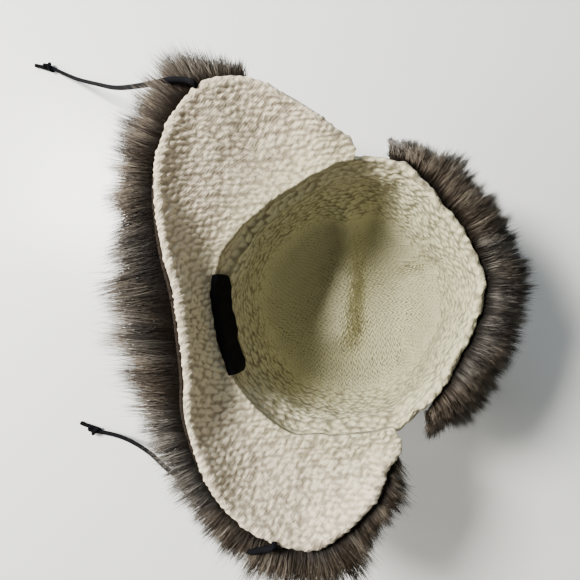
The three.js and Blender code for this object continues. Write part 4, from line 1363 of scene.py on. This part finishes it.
def peak_hairs(name, count, seed, d_from, d_to, wide, steps, across=False):
    """Roots on the peak's outer face, or across the top of the slab. A hair stands away
    from the crown, up near the rim and down near the hanging edge, and hairs are shorter
    at the two ends of the peak."""
    angles = np.linspace(-PEAK_SPAN, PEAK_SPAN, 120)
    grid_angle, grid_share = np.meshgrid(angles, np.linspace(d_from, d_to, 12))
    face = peak_point(grid_angle, grid_share, np.full_like(grid_angle, PEAK_THICK))
    w, share, dice = scatter(face, count, seed)
    a, d = mix(-PEAK_SPAN, PEAK_SPAN, w), mix(d_from, d_to, share)
    lift = dice.uniform(0.2, PEAK_THICK, count) if across else np.full_like(a, PEAK_THICK - 0.4)
    root = peak_point(a, d, lift)
    wave, rise, patch = (ripple(a * 1.7, d * 60, seed + i, size) for i, size in ((1, 50), (2, 40), (3, 30)))
    fan = smooth((np.abs(a) - 44) / 22)
    way = out(a * 1.08 + 17 * wave + dice.normal(0, 9, count) * (1 + fan) + 42 * np.sign(a) * fan)
    level = np.interp(d, [0.0, 0.14, 0.42, 0.68, 0.94], [0.42, 0.36, 0.12, -0.15, -0.5])
    way[:, 2] = level + 0.2 * rise + dice.normal(0, 0.09, count)
    way[:, 2] += 0.9 * (1 - lift / PEAK_THICK)
    way = unit(way)
    right_end = 0.34 + 0.66 * smooth((PEAK_SPAN - a) / 26)
    left_end = 0.55 + 0.45 * smooth((PEAK_SPAN + a) / 20)
    long = np.interp(d, [0, 0.14, 0.5, 1], [26, 28, 28, 26]) * (0.55 + 0.45 * lift / PEAK_THICK)
    long = long * np.where(a > 0, right_end, left_end)
    cells = (62, 16 * (d_to - d_from) + 1)
    grow(name, "peak_fur", root, way, out(a) * 0.3, long, patch, (w, d), cells, wide, steps, dice, seed)


peak_hairs("fur_peak_rim", 5000, 414, 0.0, 0.05, 0.44, BENT, across=True)
peak_hairs("fur_peak_top", 20000, 404, 0.02, 0.42, 0.46, STRAIGHT)
peak_hairs("fur_peak_low", 11000, 505, 0.36, 1.0, 0.56, STRAIGHT)

# %% [markdown]
# ## Table and light
# The photograph was taken on a pale, slightly glossy table, with soft daylight from the
# picture's left and top, which is the back of the hat and its +X side. Large area lights
# make soft shadows, and an even pale surrounding fills them.

# %% Stage
def stage_finish():
    """Pale smooth table top with a faint gloss."""
    r = Recipe("pale table top")
    return r.set(Base_Color=(0.8, 0.81, 0.8, 1), Roughness=0.3, Specular_IOR_Level=0.35)


def plain_floor(size):
    """A square floor a hair's breadth under the hat."""
    mesh = bpy.data.meshes.new("table_top")
    s, z = size / 2, -2e-4
    mesh.from_pydata([(-s, -s, z), (s, -s, z), (s, s, z), (-s, s, z)], [], [(0, 1, 2, 3)])
    obj = bpy.data.objects.new("table_top", mesh)
    mesh.materials.append(stage_finish())
    bpy.context.collection.objects.link(obj)


def soft_light(name, place, aim, size, power, colour):
    """A square area light at a place, turned toward what it lights."""
    lamp = bpy.data.lights.new(name, "AREA")
    lamp.shape, lamp.size, lamp.energy, lamp.color = "SQUARE", size, power, colour
    obj = bpy.data.objects.new(name, lamp)
    obj.location = place
    obj.rotation_euler = (Vector(aim) - Vector(place)).to_track_quat("-Z", "Y").to_euler()
    bpy.context.collection.objects.link(obj)


plain_floor(8.0)
soft_light("window light", (0.6, 0.88, 1.22), (0, 0, 0.08), 0.45, 68, (1.0, 0.97, 0.9))
soft_light("low window light", (0.3, 1.6, 0.75), (0, 0, 0.12), 0.5, 26, (1.0, 0.96, 0.9))
soft_light("blue side light", (1.3, 0.2, 0.42), (0.1, 0, 0.12), 0.5, 7, (0.62, 0.82, 1.0))
soft_light("room light", (-0.5, -0.3, 1.4), (0, 0, 0.1), 1.6, 2, (1.0, 0.97, 0.9))
world = bpy.data.worlds.new("even surrounding")
world.use_nodes = True
world.node_tree.nodes["Background"].inputs[0].default_value = (0.93, 0.95, 0.92, 1)
world.node_tree.nodes["Background"].inputs[1].default_value = 0.24
bpy.context.scene.world = world
